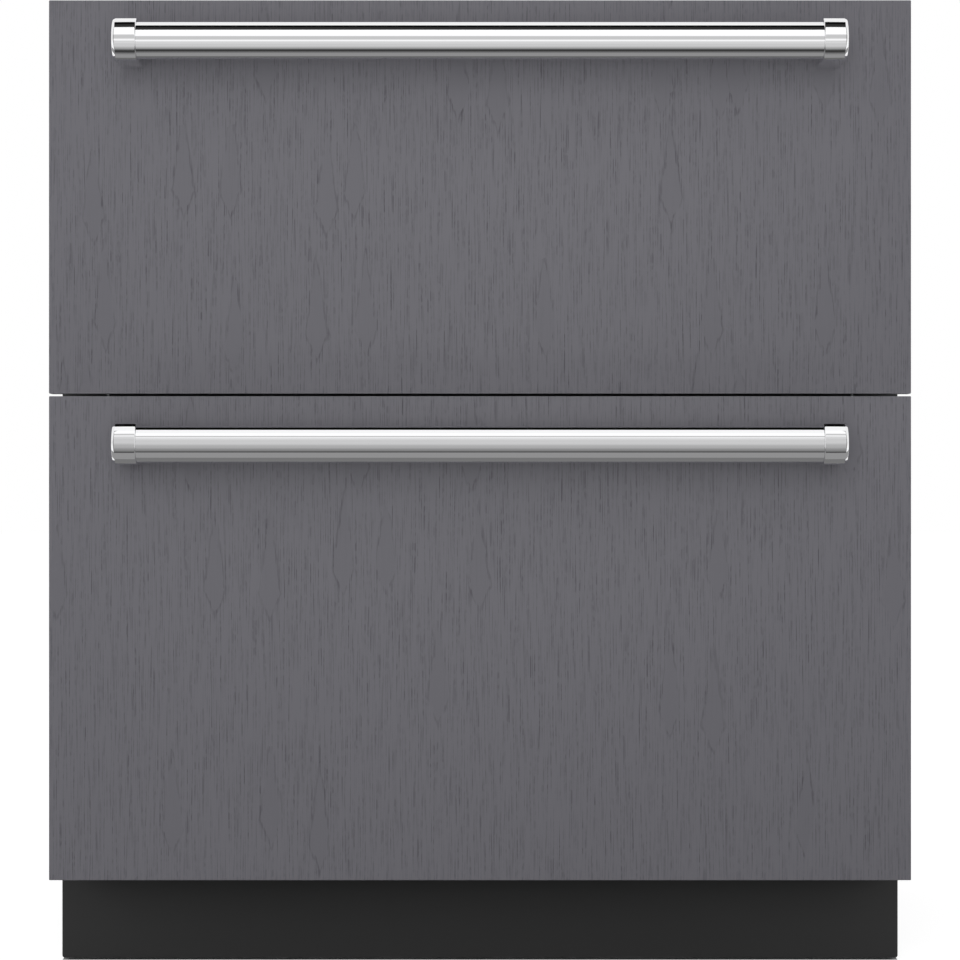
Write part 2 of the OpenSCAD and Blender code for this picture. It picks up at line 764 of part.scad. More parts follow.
// Discharge, liquid and suction lines, with the filter drier on the liquid line.
module refrigerant_lines() {
    r = 3;
    over_fan = z_machine - 14;
    drier_r = 9;
    drier_z0 = cond_low_z + header_rise + 40;
    drier_h = 90;
    rise_x = x_liner - 45;
    color("peru") {
        pipe([[comp_x - stub_dx, machine_mid, stub_z], [comp_x - stub_dx, machine_mid, over_fan],
              [cond_in[0], cond_in[1], over_fan],
              [cond_in[0], cond_in[1], cond_high_z + header_rise]], r);
        pipe([[comp_x + stub_dx, machine_mid, stub_z],
              [comp_x + stub_dx, machine_mid, stub_z + 16], [rise_x, machine_mid, stub_z + 16],
              [rise_x, machine_mid, z_machine]], r + 1);
        translate([cond_out[0], cond_out[1], 0]) {
            translate([0, 0, cond_low_z + header_rise])
                cylinder(r = r, h = z_machine - cond_low_z - header_rise);
            translate([0, 0, drier_z0]) cylinder(r = drier_r, h = drier_h);
            translate([0, 0, drier_z0 - 8]) cylinder(r1 = r, r2 = drier_r, h = 8);
            translate([0, 0, drier_z0 + drier_h]) cylinder(r1 = drier_r, r2 = r, h = 8);
        }
    }
}

module control_box() {
    y0 = y_machine + 20;
    color("gainsboro") {
        span([control_box_x0, y0, z_base], [control_box_x1, y_back - 60, z_base + 150]);
        for (i = [0 : 4])
            span([control_box_x0 + 14 + i * 14, y0 + 8, z_base + 150],
                 [control_box_x0 + 18 + i * 14, y_back - 68, z_base + 156]);
    }
}

// ---------------------------------------------------------------- controls and lights

// Housing on the ceiling, face down, with a bore for each button and a display window.
module control_panel() {
    color([0.15, 0.15, 0.16]) difference() {
        translate([0, y_control, z_ceil - control_t])
            linear_extrude(control_t) round_rect(control_w, control_d, 8);
        for (x = button_x)
            translate([x, y_control + control_d / 2, z_ceil - control_t - over])
                cylinder(r = button_r + fit, h = 6 + over);
        translate([44, y_control + control_d / 2 - 11, z_ceil - control_t - over])
            cube([40, 22, 2 + over]);
    }
}

// A button stands 1.5 out of the panel and moves up by button_travel.
module button(i) {
    stem = 5;
    color("silver") translate([button_x[i], y_control + control_d / 2, z_ceil - control_t - 1.5])
        cylinder(r = button_r, h = 1.5 + stem - button_travel);
}

module led_lights() {
    w = 260;
    d = 14;
    t = 6;
    color("white") {
        span([-w / 2, y_control + control_d + 12, z_ceil - t],
             [w / 2, y_control + control_d + 12 + d, z_ceil]);
        span([-w / 2, y_face + 16, z_mullion - t], [w / 2, y_face + 16 + d, z_mullion]);
    }
}

// ---------------------------------------------------------------- legs

// Foot pad, hexagon and rod. The hexagon's top meets the base pan at the lowest setting.
module leg(x, y) {
    color("silver") translate([x, y, 0]) {
        cylinder(r = leg_pad_d / 2, h = leg_pad_t);
        translate([0, 0, leg_pad_t]) cylinder(r1 = leg_pad_d / 3, r2 = leg_hex / 2, h = 4);
        translate([0, 0, leg_pad_t + 4])
            cylinder(d = leg_hex * 2 / sqrt(3), h = base_h - leg_pad_t - 4 - fit, $fn = 6);
        translate([0, 0, base_h - fit - 1])
            cylinder(r = leg_rod_d / 2, h = leg_top - base_h + fit + 1);
    }
}

// ---------------------------------------------------------------- slides

// Channel of height h and depth d, open towards +X, with its web's outside at x = 0.
module channel(h, d, length) {
    span([0, 0, -h / 2], [slide_t, length, h / 2]);
    for (end = [0, 1]) mirror([0, 0, end])
        span([0, 0, h / 2 - slide_t], [d, length, h / 2]);
}

member_d = slide_w - 3.4;              // depth of the outer and middle members
middle_h = slide_h - 2 * (slide_t + outer_ball_d + 2 * ball_gap);
inner_h = middle_h - 2 * (slide_t + inner_ball_d + 2 * ball_gap);
web_gap = 1;
middle_x = slide_t + web_gap;          // middle member's web, from the liner wall
inner_x = middle_x + slide_t + web_gap;
outer_ball_x = middle_x + 3;
inner_ball_x = inner_x + 2.6;

// Both sides of a slide piece: children are drawn from the liner wall inwards.
module both_sides(z) {
    for (side = [0, 1]) mirror([side, 0, 0])
        translate([-x_open, slide_start, z]) children();
}

module slide_outer(z) {
    color("silver") both_sides(z) channel(slide_h, member_d, slide_len);
}

module slide_middle(z) {
    color("silver") both_sides(z)
        translate([middle_x, 0, 0]) channel(middle_h, member_d - middle_x, slide_len);
}

carrier_foot = 120;                    // a carrier's flange, from the slide's centre down
carrier_flange = 24;
carrier_screw_x = x_inner - carrier_flange / 2 - 2;
carrier_screw_dz = [-carrier_foot + 14, -carrier_foot / 2, 14];

// Inner channel, open towards the wall, with the carrier that holds the bin and the front.
module slide_inner(z) {
    w = slide_w - inner_x;
    ledge = slide_drop - rim_t;
    front_y = y_seal - slide_start;
    color("silver") difference() {
        both_sides(z) {
            translate([slide_w, 0, 0]) mirror([1, 0, 0]) channel(inner_h, w, slide_len);
            span([slide_w, front_y, -inner_h / 2], [slide_w + carrier_t, slide_len, ledge]);
            span([slide_w - 8, front_y + 12, ledge - carrier_t],
                 [slide_w + carrier_t, slide_len, ledge]);
            span([slide_w, front_y, -carrier_foot], [slide_w + carrier_t, front_y + 60, 0]);
            span([slide_w, front_y, -carrier_foot],
                 [slide_w + carrier_flange, front_y + carrier_t, ledge]);
        }
        for (side = [-1, 1], dz = carrier_screw_dz)
            rod_y([side * carrier_screw_x, y_seal - over, z + dz], screw_r + seat,
                  carrier_t + 2 * over);
    }
}

// Two rows of loose balls in their cages, at height race above and below the centre.
module bearings(z, ball_x, race, ball_d) {
    count = 8;
    start = (slide_len - cage_len) / 2;
    pitch = cage_len / count;
    cage_t = 0.8;
    cage_w = ball_d + 2.4;
    color("goldenrod") both_sides(z) for (end = [0, 1]) mirror([0, 0, end]) {
        difference() {
            translate([ball_x - cage_w / 2, start, race - cage_t / 2])
                cube([cage_w, cage_len, cage_t]);
            for (i = [0 : count - 1])
                translate([ball_x, start + (i + 0.5) * pitch, race - cage_t])
                    cylinder(d = ball_d + 2 * ball_gap, h = 2 * cage_t);
        }
        for (i = [0 : count - 1])
            translate([ball_x, start + (i + 0.5) * pitch, race]) sphere(d = ball_d);
    }
}

module outer_bearings(z) {
    bearings(z, outer_ball_x, slide_h / 2 - slide_t - ball_gap - outer_ball_d / 2, outer_ball_d);
}

module inner_bearings(z) {
    bearings(z, inner_ball_x, middle_h / 2 - slide_t - ball_gap - inner_ball_d / 2, inner_ball_d);
}

// ---------------------------------------------------------------- drawers

// Places of the screws that hold the panel on its insulated front, as [x, z].
function panel_screw_places(z0, z1) =
    [for (x = [-1, 1], z = [z0 + 50, z1 - 50])
        [x * (x_front - seal_inset - seal_w - screw_head_r - 3), z]];

// Places of the handle screws, as [x, z], for a handle axis at height z.
function handle_screw_places(z) =
    [for (x = [-1, 1], dz = [-1, 1])
        [x * (handle_len - handle_bracket_w) / 2, z + dz * handle_screw_dz]];

// Wooden panel with screw holes from behind.
module drawer_panel(z0, z1) {
    color("slategray") difference() {
        span([-x_panel, y_panel, z0], [x_panel, y_front, z1]);
        for (p = handle_screw_places(z1 - handle_drop)) {
            rod_y([p[0], y_panel - over, p[1]], screw_r + fit, panel_t + 2 * over);
            rod_y([p[0], y_front - screw_head_t - fit, p[1]], screw_head_r + fit,
                  screw_head_t + over);
        }
        for (p = panel_screw_places(z0, z1))
            rod_y([p[0], y_front - pilot_depth, p[1]], screw_r + seat, pilot_depth + over);
    }
}

dart_t = 2.4;                          // the gasket's root in its groove
dart_depth = 3.5;

// A ring centred under the gasket, t thick, between depths y0 and y1.
module seal_ring(z0, z1, t, y0, y1) {
    edge = seal_inset + (seal_w - t) / 2;
    face_ring(x_front - edge, z0 + edge, z1 - edge, t, y0, y1);
}

// Insulated front: a foamed pan with a groove for the gasket and holes for its screws.
module drawer_front(z0, z1, slide_z) {
    color("gainsboro") difference() {
        span([-x_front, y_front, z0], [x_front, y_seal, z1]);
        seal_ring(z0, z1, dart_t + 2 * fit, y_seal - dart_depth - fit, y_seal + over);
        for (p = panel_screw_places(z0 - front_inset, z1 + front_inset))
            rod_y([p[0], y_front - over, p[1]], screw_r + fit, front_t + 2 * over);
        for (side = [-1, 1], dz = carrier_screw_dz)
            rod_y([side * carrier_screw_x, y_seal - pilot_depth, slide_z + dz],
                  screw_r + seat, pilot_depth + over);
    }
}

// Magnetic gasket: soft face and the dart that holds it in the front's groove.
module gasket(z0, z1) {
    color([0.25, 0.25, 0.26]) {
        seal_ring(z0, z1, seal_w, y_seal, y_face - fit);
        seal_ring(z0, z1, dart_t, y_seal - dart_depth, y_seal + over);
    }
}

// Storage bin: open tub with a rolled rim that hangs on the carriers.
module bin(length, z0, z1) {
    color([0.9, 0.92, 0.94]) translate([0, y_bin, z0]) difference() {
        union() {
            linear_extrude(z1 - z0) round_rect(2 * x_bin, length, bin_r);
            translate([0, 0, z1 - z0 - rim_t]) linear_extrude(rim_t)
                round_rect(2 * (x_bin + rim_w), length, bin_r);
        }
        translate([0, bin_t, bin_t]) linear_extrude(z1 - z0)
            round_rect(2 * (x_bin - bin_t), length - 2 * bin_t, bin_r - bin_t);
    }
}

// Divider across the depth of a bin, hooked over the front and rear rims.
module divider(length, z0, z1) {
    hook_w = 36;
    hook_t = 2;
    leaf_h = 40;
    lip_h = 7;
    y0 = y_bin + bin_t + fit;
    y1 = y_bin + length - bin_t - fit;
    outside = -bin_t - 2 * fit;        // from the inner leaf to the outer lip
    top = z1 + fit;
    color([0.75, 0.85, 0.9]) {
        span([-divider_t / 2, y0, z0 + bin_t + fit], [divider_t / 2, y1, z1 - divider_drop]);
        for (end = [0, 1])
            translate([-hook_w / 2, end ? y1 : y0, 0]) mirror([0, end, 0]) {
                span([0, 0, z1 - leaf_h], [hook_w, hook_t, top + hook_t]);
                span([0, outside - hook_t, top], [hook_w, hook_t, top + hook_t]);
                span([0, outside - hook_t, top - lip_h], [hook_w, outside, top + hook_t]);
            }
    }
}

module handle_tube(z) {
    half = bracket_x + handle_socket - seat;
    color("silver") difference() {
        rod_x([-half, y_handle, z - handle_tube_drop], tube_r, 2 * half);
        rod_x([-half - over, y_handle, z - handle_tube_drop], tube_r - handle_tube_wall,
              2 * (half + over));
    }
}

// End brackets: round nose on a straight standoff, with a blind socket for the tube.
module handle_brackets(z) {
    color("silver") for (side = [0, 1]) mirror([side, 0, 0]) difference() {
        union() {
            rod_x([bracket_x, y_handle, z], bracket_r, handle_bracket_w);
            span([bracket_x, y_handle, z - bracket_r],
                 [bracket_x + handle_bracket_w, y_panel, z + bracket_r]);
        }
        rod_x([bracket_x - over, y_handle, z - handle_tube_drop], tube_r + seat,
              handle_socket + over);
        for (dz = [-1, 1])
            rod_y([bracket_x + handle_bracket_w / 2, y_panel - handle_screw_grip - 2,
                   z + dz * handle_screw_dz], screw_r + seat, handle_screw_grip + 2 + over);
    }
}

// Handle screws, panel screws and carrier screws of one drawer.
module drawer_screws(z0, z1, slide_z) {
    color("silver") {
        for (p = handle_screw_places(z1 - handle_drop)) {
            rod_y([p[0], y_panel - handle_screw_grip, p[1]], screw_r,
                  panel_t + handle_screw_grip);
            rod_y([p[0], y_front - screw_head_t, p[1]], screw_head_r, screw_head_t);
        }
        for (p = panel_screw_places(z0, z1)) {
            rod_y([p[0], y_front - pilot_depth + 1, p[1]], screw_r, front_t + pilot_depth - 1);
            rod_y([p[0], y_seal, p[1]], screw_head_r, low_head_t);
        }
        for (side = [-1, 1], dz = carrier_screw_dz)
            translate([side * carrier_screw_x, y_seal + carrier_t, slide_z + dz]) {
                rod_y([0, -carrier_t - pilot_depth + 1, 0], screw_r, carrier_t + pilot_depth - 1);
                rod_y([0, 0, 0], screw_head_r - 1, low_head_t);
            }
    }
}

// ---------------------------------------------------------------- nodes

upper_z = [z_upper, z_top];
lower_z = [z_lower, z_split];
upper_f = [z_upper + front_inset, z_top - front_inset];
lower_f = [z_lower + front_inset, z_split - front_inset];

left_side_panel();
right_side_panel();
top_panel();
back_panel();
base_pan();
foam_insulation();
inner_liner();
front_rails();
evaporator_coil();
evaporator_cover();
evaporator_fan_motor();
evaporator_fan();
compressor();
compressor_grommets();
condenser_coil();
condenser_fan_motor();
condenser_fan();
drain_pan();
refrigerant_lines();
control_box();
rear_cover();
cord_gland();
kick_plate();
cabinet_screws();
counter_brackets();
control_panel();
led_lights();
button(0);  // power_button
button(1);  // colder_button
button(2);  // warmer_button
leg(-leg_x, leg_y0);  // leg_front_left
leg(leg_x, leg_y0);  // leg_front_right
leg(-leg_x, leg_y1);  // leg_rear_left
leg(leg_x, leg_y1);  // leg_rear_right

slide_outer(upper_slide_z);  // upper_slide_outer
slide_middle(upper_slide_z);  // upper_slide_middle
slide_inner(upper_slide_z);  // upper_slide_inner
outer_bearings(upper_slide_z);  // upper_outer_bearings
inner_bearings(upper_slide_z);  // upper_inner_bearings
drawer_panel(upper_z[0], upper_z[1]);  // upper_drawer_panel
drawer_front(upper_f[0], upper_f[1], upper_slide_z);  // upper_drawer_front
gasket(upper_f[0], upper_f[1]);  // upper_gasket
bin(bin_len_upper, upper_bin_z0, upper_bin_z1);  // upper_bin
handle_tube(upper_z[1] - handle_drop);  // upper_handle_tube
handle_brackets(upper_z[1] - handle_drop);  // upper_handle_brackets
drawer_screws(upper_z[0], upper_z[1], upper_slide_z);  // upper_screws
divider(bin_len_upper, upper_bin_z0, upper_bin_z1);  // upper_divider

slide_outer(lower_slide_z);  // lower_slide_outer
slide_middle(lower_slide_z);  // lower_slide_middle
slide_inner(lower_slide_z);  // lower_slide_inner
outer_bearings(lower_slide_z);  // lower_outer_bearings
inner_bearings(lower_slide_z);  // lower_inner_bearings
drawer_panel(lower_z[0], lower_z[1]);  // lower_drawer_panel
drawer_front(lower_f[0], lower_f[1], lower_slide_z);  // lower_drawer_front
gasket(lower_f[0], lower_f[1]);  // lower_gasket
bin(bin_len_lower, lower_bin_z0, lower_bin_z1);  // lower_bin
handle_tube(lower_z[1] - handle_drop);  // lower_handle_tube
handle_brackets(lower_z[1] - handle_drop);  // lower_handle_brackets
drawer_screws(lower_z[0], lower_z[1], lower_slide_z);  // lower_screws
divider(bin_len_lower, lower_bin_z0, lower_bin_z1);  // lower_divider
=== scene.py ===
"""Undercounter drawer refrigerator: handles, wood fronts, finishes and stage, round the frame."""

import json
import math

import bmesh
import bpy
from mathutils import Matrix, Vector

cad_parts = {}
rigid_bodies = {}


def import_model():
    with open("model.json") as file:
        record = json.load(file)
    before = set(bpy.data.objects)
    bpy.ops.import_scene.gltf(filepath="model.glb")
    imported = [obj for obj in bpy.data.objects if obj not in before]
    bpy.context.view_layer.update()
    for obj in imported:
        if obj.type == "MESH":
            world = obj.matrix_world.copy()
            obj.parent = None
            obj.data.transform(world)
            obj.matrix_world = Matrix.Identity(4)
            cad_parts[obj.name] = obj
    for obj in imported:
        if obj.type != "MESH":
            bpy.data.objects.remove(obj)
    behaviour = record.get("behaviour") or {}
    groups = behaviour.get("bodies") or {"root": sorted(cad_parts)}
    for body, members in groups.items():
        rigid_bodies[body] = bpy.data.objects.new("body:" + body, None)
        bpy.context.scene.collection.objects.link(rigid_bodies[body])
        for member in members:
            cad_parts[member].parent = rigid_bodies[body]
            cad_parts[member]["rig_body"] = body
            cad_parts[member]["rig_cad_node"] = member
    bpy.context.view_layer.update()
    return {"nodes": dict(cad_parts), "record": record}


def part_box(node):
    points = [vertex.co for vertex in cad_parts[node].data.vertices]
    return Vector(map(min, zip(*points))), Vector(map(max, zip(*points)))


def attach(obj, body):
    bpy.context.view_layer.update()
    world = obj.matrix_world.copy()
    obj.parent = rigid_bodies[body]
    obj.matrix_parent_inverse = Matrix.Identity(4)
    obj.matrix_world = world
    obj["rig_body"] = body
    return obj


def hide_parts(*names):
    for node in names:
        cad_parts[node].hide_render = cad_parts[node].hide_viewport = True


bl_info = {
    "name": "Drawer Refrigerator",
    "version": (1, 0, 0),
    "blender": (4, 5, 0),
    "location": "View3D > Sidebar > Refrigerator",
    "description": "Models and finishes an undercounter drawer refrigerator, and lights it",
    "category": "Object",
}

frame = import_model()

DRAWERS = ("upper", "lower")
MM = 0.001


# ---------------------------------------------------------------- sizes and colours

def length(name, description, default):
    return bpy.props.FloatProperty(
        name=name, description=description, default=default, min=0.0, unit="LENGTH", precision=4)


def colour(name, description, default):
    return bpy.props.FloatVectorProperty(
        name=name, description=description, default=default, min=0.0, max=1.0, size=3,
        subtype="COLOR")


def amount(name, description, default, top=1.0):
    return bpy.props.FloatProperty(
        name=name, description=description, default=default, min=0.0, max=top)


class HandleSizes(bpy.types.PropertyGroup):
    tube_wall: length("Tube wall", "Wall thickness of the handle tubes", 1.5 * MM)
    rim_width: length("Rim width", "Width of the sloped rim at a bracket's outer end", 2.2 * MM)
    rim_drop: length("Rim drop", "How far that rim slopes inwards", 0.75 * MM)
    outer_round: length("Outer rounding", "Rounding of a bracket's outer edge", 0.4 * MM)
    inner_round: length("Inner rounding", "Rounding of a bracket's edge beside the tube", 1.1 * MM)
    bracket_width: length("Bracket width", "Width of an end bracket along the tube", 20.5 * MM)


class EdgeSizes(bpy.types.PropertyGroup):
    wood_round: length("Wood edges", "Rounding of the wooden fronts' edges", 0.8 * MM)
    sheet_round: length("Sheet edges", "Rounding of folded sheet metal", 0.25 * MM)


class Colours(bpy.types.PropertyGroup):
    wood: colour("Wood", "Stain between the pores", (0.141, 0.138, 0.154))
    pores: colour("Pores", "Stain gathered in the pores", (0.073, 0.071, 0.082))
    steel: colour("Polished steel", "Handles", (0.86, 0.86, 0.87))
    kick: colour("Kick plate", "Matt black paint", (0.0182, 0.0182, 0.0182))
    figure: amount("Grain figure", "Strength of the wood's grain", 1.0, 2.0)
    wear: amount("Edge wear", "How much the finish is rubbed at the edges", 0.35)


class StageSizes(bpy.types.PropertyGroup):
    distance: length("Camera distance", "From the wooden fronts to the camera", 2.5)
    eye_height: length("Camera height", "Height of the camera above the floor", 0.4313)
    frame_width: length("Framed width", "Width that the picture covers at the fronts", 0.84163)
    card_distance: length("Card distance", "From the handles to the reflected card", 0.35)
    lamps: amount("Lamps", "Power that each lamp has its share of, in watts", 14.0, 200.0)
    fill: amount("Fill", "Brightness of the surrounding light", 0.5, 4.0)


GROUPS = {"handles": HandleSizes, "edges": EdgeSizes, "colours": Colours, "stage": StageSizes}


def settings(group):
    return getattr(bpy.context.scene, "refrigerator_" + group)


# ---------------------------------------------------------------- modelling by hand

def clear_selection():
    if bpy.context.object and bpy.context.object.mode != "OBJECT":
        bpy.ops.object.mode_set(mode="OBJECT")
    bpy.ops.object.select_all(action="DESELECT")


def take(obj):
    clear_selection()
    obj.select_set(True)
    bpy.context.view_layer.objects.active = obj


def named(name):
    """Names the object just added, and puts its place into its mesh."""
    obj = bpy.context.object
    obj.name = name
    obj.data.name = name
    bpy.ops.object.transform_apply(location=True, rotation=True, scale=True)
    return obj


def edit(obj):
    take(obj)
    bpy.ops.object.mode_set(mode="EDIT")


def leave_edit():
    bpy.ops.object.mode_set(mode="OBJECT")


def pick(obj, kind, test):
    """In edit mode, selects just the faces or edges that pass the test."""
    bpy.ops.mesh.select_mode(type=kind)
    bpy.ops.mesh.select_all(action="DESELECT")
    mesh = bmesh.from_edit_mesh(obj.data)
    for item in mesh.faces if kind == "FACE" else mesh.edges:
        if test(item):
            item.select_set(True)
    mesh.select_flush_mode()
    bmesh.update_edit_mesh(obj.data)


def near(a, b):
    """Whether two places are the same, to a fiftieth of a millimetre."""
    return abs(a - b) < 0.02 * MM


def on_plane(edge, axis, value):
    return all(near(v.co[axis], value) for v in edge.verts)


def recalculate(obj):
    """Turns every face of a closed piece outwards."""
    edit(obj)
    bpy.ops.mesh.select_all(action="SELECT")
    bpy.ops.mesh.normals_make_consistent(inside=False)
    leave_edit()


def apply_modifier(obj, kind, **values):
    take(obj)
    modifier = obj.modifiers.new(kind.title(), kind)
    for key, value in values.items():
        setattr(modifier, key, value)
    bpy.ops.object.modifier_apply(modifier=modifier.name)


def shade(obj, degrees=32):
    take(obj)
    bpy.ops.object.shade_smooth_by_angle(angle=math.radians(degrees))


def copy_piece(obj, name, shift):
    """A copy with its own mesh, moved by shift."""
    take(obj)
    bpy.ops.object.duplicate()
    copy = bpy.context.object
    copy.location = shift
    return named(name)


def stand_for(obj, node):
    """The piece hides the CAD node, and takes its body and material slot."""
    body = next(b for b, nodes in frame["record"]["behaviour"]["bodies"].items()
                if node in nodes)
    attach(obj, body)
    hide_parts(node)
    obj.data.materials.clear()
    obj.data.materials.append(finish_for(node))


def slot_of(node):
    return next(s["material_slot"] for s in frame["record"]["subparts"] if s["node"] == node)


def merged_copy(node, name):
    """A copy of a CAD node's triangles, merged into whole flat faces."""
    take(frame["nodes"][node])
    bpy.ops.object.duplicate()
    copy = bpy.context.object
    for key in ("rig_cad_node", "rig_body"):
        if key in copy:
            del copy[key]
    copy.parent = None
    copy = named(name)
    copy.data.materials.clear()
    edit(copy)
    bpy.ops.mesh.customdata_custom_splitnormals_clear()
    bpy.ops.mesh.select_all(action="SELECT")
    bpy.ops.mesh.remove_doubles(threshold=2e-6)
    bpy.ops.mesh.dissolve_limited(angle_limit=math.radians(0.5), delimit={"NORMAL"})
    leave_edit()
    return copy


def soften(node, width):
    """Replaces a CAD node by a copy whose sharp edges are rounded."""
    piece = merged_copy(node, node + ".soft")
    apply_modifier(piece, "BEVEL", width=width, segments=2, limit_method="ANGLE",
                   angle_limit=math.radians(50), use_clamp_overlap=True)
    shade(piece)
    stand_for(piece, node)


# ---------------------------------------------------------------- shader nodes

class Graph:
    """Adds nodes to one tree and wires them."""

    def __init__(self, tree):
        self.tree = tree
        self.made = 0

    def add(self, kind, inputs=None, **values):
        node = self.tree.nodes.new(kind)
        node.location = (self.made % 9 * 190, -(self.made // 9) * 260)
        self.made += 1
        for key, value in values.items():
            setattr(node, key, value)
        for key, value in (inputs or {}).items():
            self.feed(node.inputs[key], value)
        return node

    def feed(self, socket, value):
        if isinstance(value, bpy.types.NodeSocket):
            self.tree.links.new(value, socket)
        else:
            socket.default_value = value

    def math(self, operation, a, b=0.0, c=0.0, clamp=False):
        node = self.add("ShaderNodeMath", {0: a, 1: b, 2: c}, operation=operation,
                        use_clamp=clamp)
        return node.outputs[0]

    def times(self, vector, factors):
        node = self.add("ShaderNodeVectorMath", {0: vector, 1: factors}, operation="MULTIPLY")
        return node.outputs[0]

    def noise(self, vector, detail=2.0, rough=0.5):
        node = self.add("ShaderNodeTexNoise",
                        {"Vector": vector, "Scale": 1.0, "Detail": detail, "Roughness": rough})
        return node.outputs["Fac"]

    def scatter(self, across, along, spread=1.0):
        """Points strewn over a plane, one in each unit square of (across, along)."""
        place = self.add("ShaderNodeCombineXYZ", {"X": across, "Y": along}).outputs[0]
        spot = self.add("ShaderNodeTexVoronoi",
                        {"Vector": place, "Scale": 1.0, "Randomness": spread},
                        voronoi_dimensions="2D").outputs
        return place, spot

    def ramp(self, value, stops):
        """Grey ramp through (place, level) stops."""
        node = self.add("ShaderNodeValToRGB", {"Fac": value})
        marks = node.color_ramp.elements
        while len(marks) < len(stops):
            marks.new(1.0)
        for mark, (place, level) in zip(marks, stops):
            mark.position = place
            mark.color = (level, level, level, 1.0)
        return node.outputs["Color"]

    def mix(self, factor, a, b):
        node = self.add("ShaderNodeMix", data_type="RGBA")
        self.feed(node.inputs["Factor"], factor)
        for socket, value in ((node.inputs[6], a), (node.inputs[7], b)):
            self.feed(socket, value)
        return node.outputs[2]

    def shade_colour(self, tint, factor):
        """Colour times a grey factor."""
        node = self.add("ShaderNodeVectorMath", {0: tint, "Scale": factor}, operation="SCALE")
        return node.outputs[0]


SOCKETS = {"Color": "NodeSocketColor", "Vector": "NodeSocketVector", "Float": "NodeSocketFloat"}


def group(name, ins, outs):
    """An empty shader group. ins are (name, kind, default), outs are (name, kind)."""
    tree = bpy.data.node_groups.new(name, "ShaderNodeTree")
    for label, kind, default in ins:
        socket = tree.interface.new_socket(label, in_out="INPUT", socket_type=SOCKETS[kind])
        socket.default_value = default
    for label, kind in outs:
        tree.interface.new_socket(label, in_out="OUTPUT", socket_type=SOCKETS[kind])
    graph = Graph(tree)
    return tree, graph, graph.add("NodeGroupInput").outputs, graph.add("NodeGroupOutput").inputs


# Layers of pores: cells per metre across and along the grain, shift across, and depth.
PORES = ((560.0, 8.0, 0.0, 0.62), (480.0, 11.0, 40.3, 0.6), (620.0, 17.0, 80.6, 0.5))


def grain_place(g, vector):
    """Metres across and along the grain, on the faces and on the edges of a slab."""
    parts = g.add("ShaderNodeSeparateXYZ", {0: vector}).outputs
    return g.math("ADD", parts["X"], parts["Y"]), parts["Z"]


def pore_rows(g, vector):
    """Thin upright lines of pores, broken into dashes."""
    across, along = grain_place(g, vector)
    lines = 0.0
    for wide, tall, start, level in PORES:
        spot = g.scatter(g.math("MULTIPLY_ADD", across, wide, start),
                         g.math("MULTIPLY", along, tall))[1]
        pore = g.math("SUBTRACT", 1.0, g.math("DIVIDE", spot["Distance"], 0.3), clamp=True)
        lines = g.math("MULTIPLY_ADD", pore, level, lines)
    specks = g.noise(g.times(vector, (420.0, 420.0, 160.0)), 1.0)
    return g.math("MULTIPLY", lines, g.ramp(specks, [(0.0, 0.3), (0.4, 0.3), (0.58, 1.0)]))


def flames(g, vector):
    """Masks of smooth pockets with pointed tops, and of the broken outline round them."""
    across, along = grain_place(g, vector)
    place, spot = g.scatter(g.math("MULTIPLY", across, 26.0), g.math("MULTIPLY", along, 9.5), 0.75)
    aside = g.add("ShaderNodeVectorMath", {0: place, 1: spot["Position"]}, operation="SUBTRACT")
    aside = g.add("ShaderNodeSeparateXYZ", {0: aside.outputs[0]}).outputs
    fray = g.math("SUBTRACT", g.noise(g.times(vector, (300.0, 300.0, 60.0)), 1.0), 0.5)
    width = g.math("MINIMUM", g.math("MULTIPLY_ADD", aside["Y"], -0.36, 0.16),
                   g.math("MULTIPLY_ADD", aside["Y"], 1.1, 0.5))
    depth = g.math("MULTIPLY_ADD", fray, 0.14,
                   g.math("SUBTRACT", width, g.math("ABSOLUTE", aside["X"])))
    there = g.math("GREATER_THAN", spot["Color"], 0.6)
    pocket = g.ramp(depth, [(0.0, 0.0), (0.012, 0.0), (0.03, 1.0)])
    border = g.ramp(g.math("ADD", depth, 0.5), [(0.0, 0.0), (0.455, 0.0), (0.485, 1.0),
                                                (0.505, 1.0), (0.525, 0.0)])
    broken = g.ramp(g.noise(g.times(vector, (260.0, 260.0, 24.0)), 2.0),
                    [(0.0, 0.1), (0.4, 0.1), (0.56, 1.0)])
    return (g.math("MULTIPLY", pocket, there),
            g.math("MULTIPLY", g.math("MULTIPLY", border, there), broken))


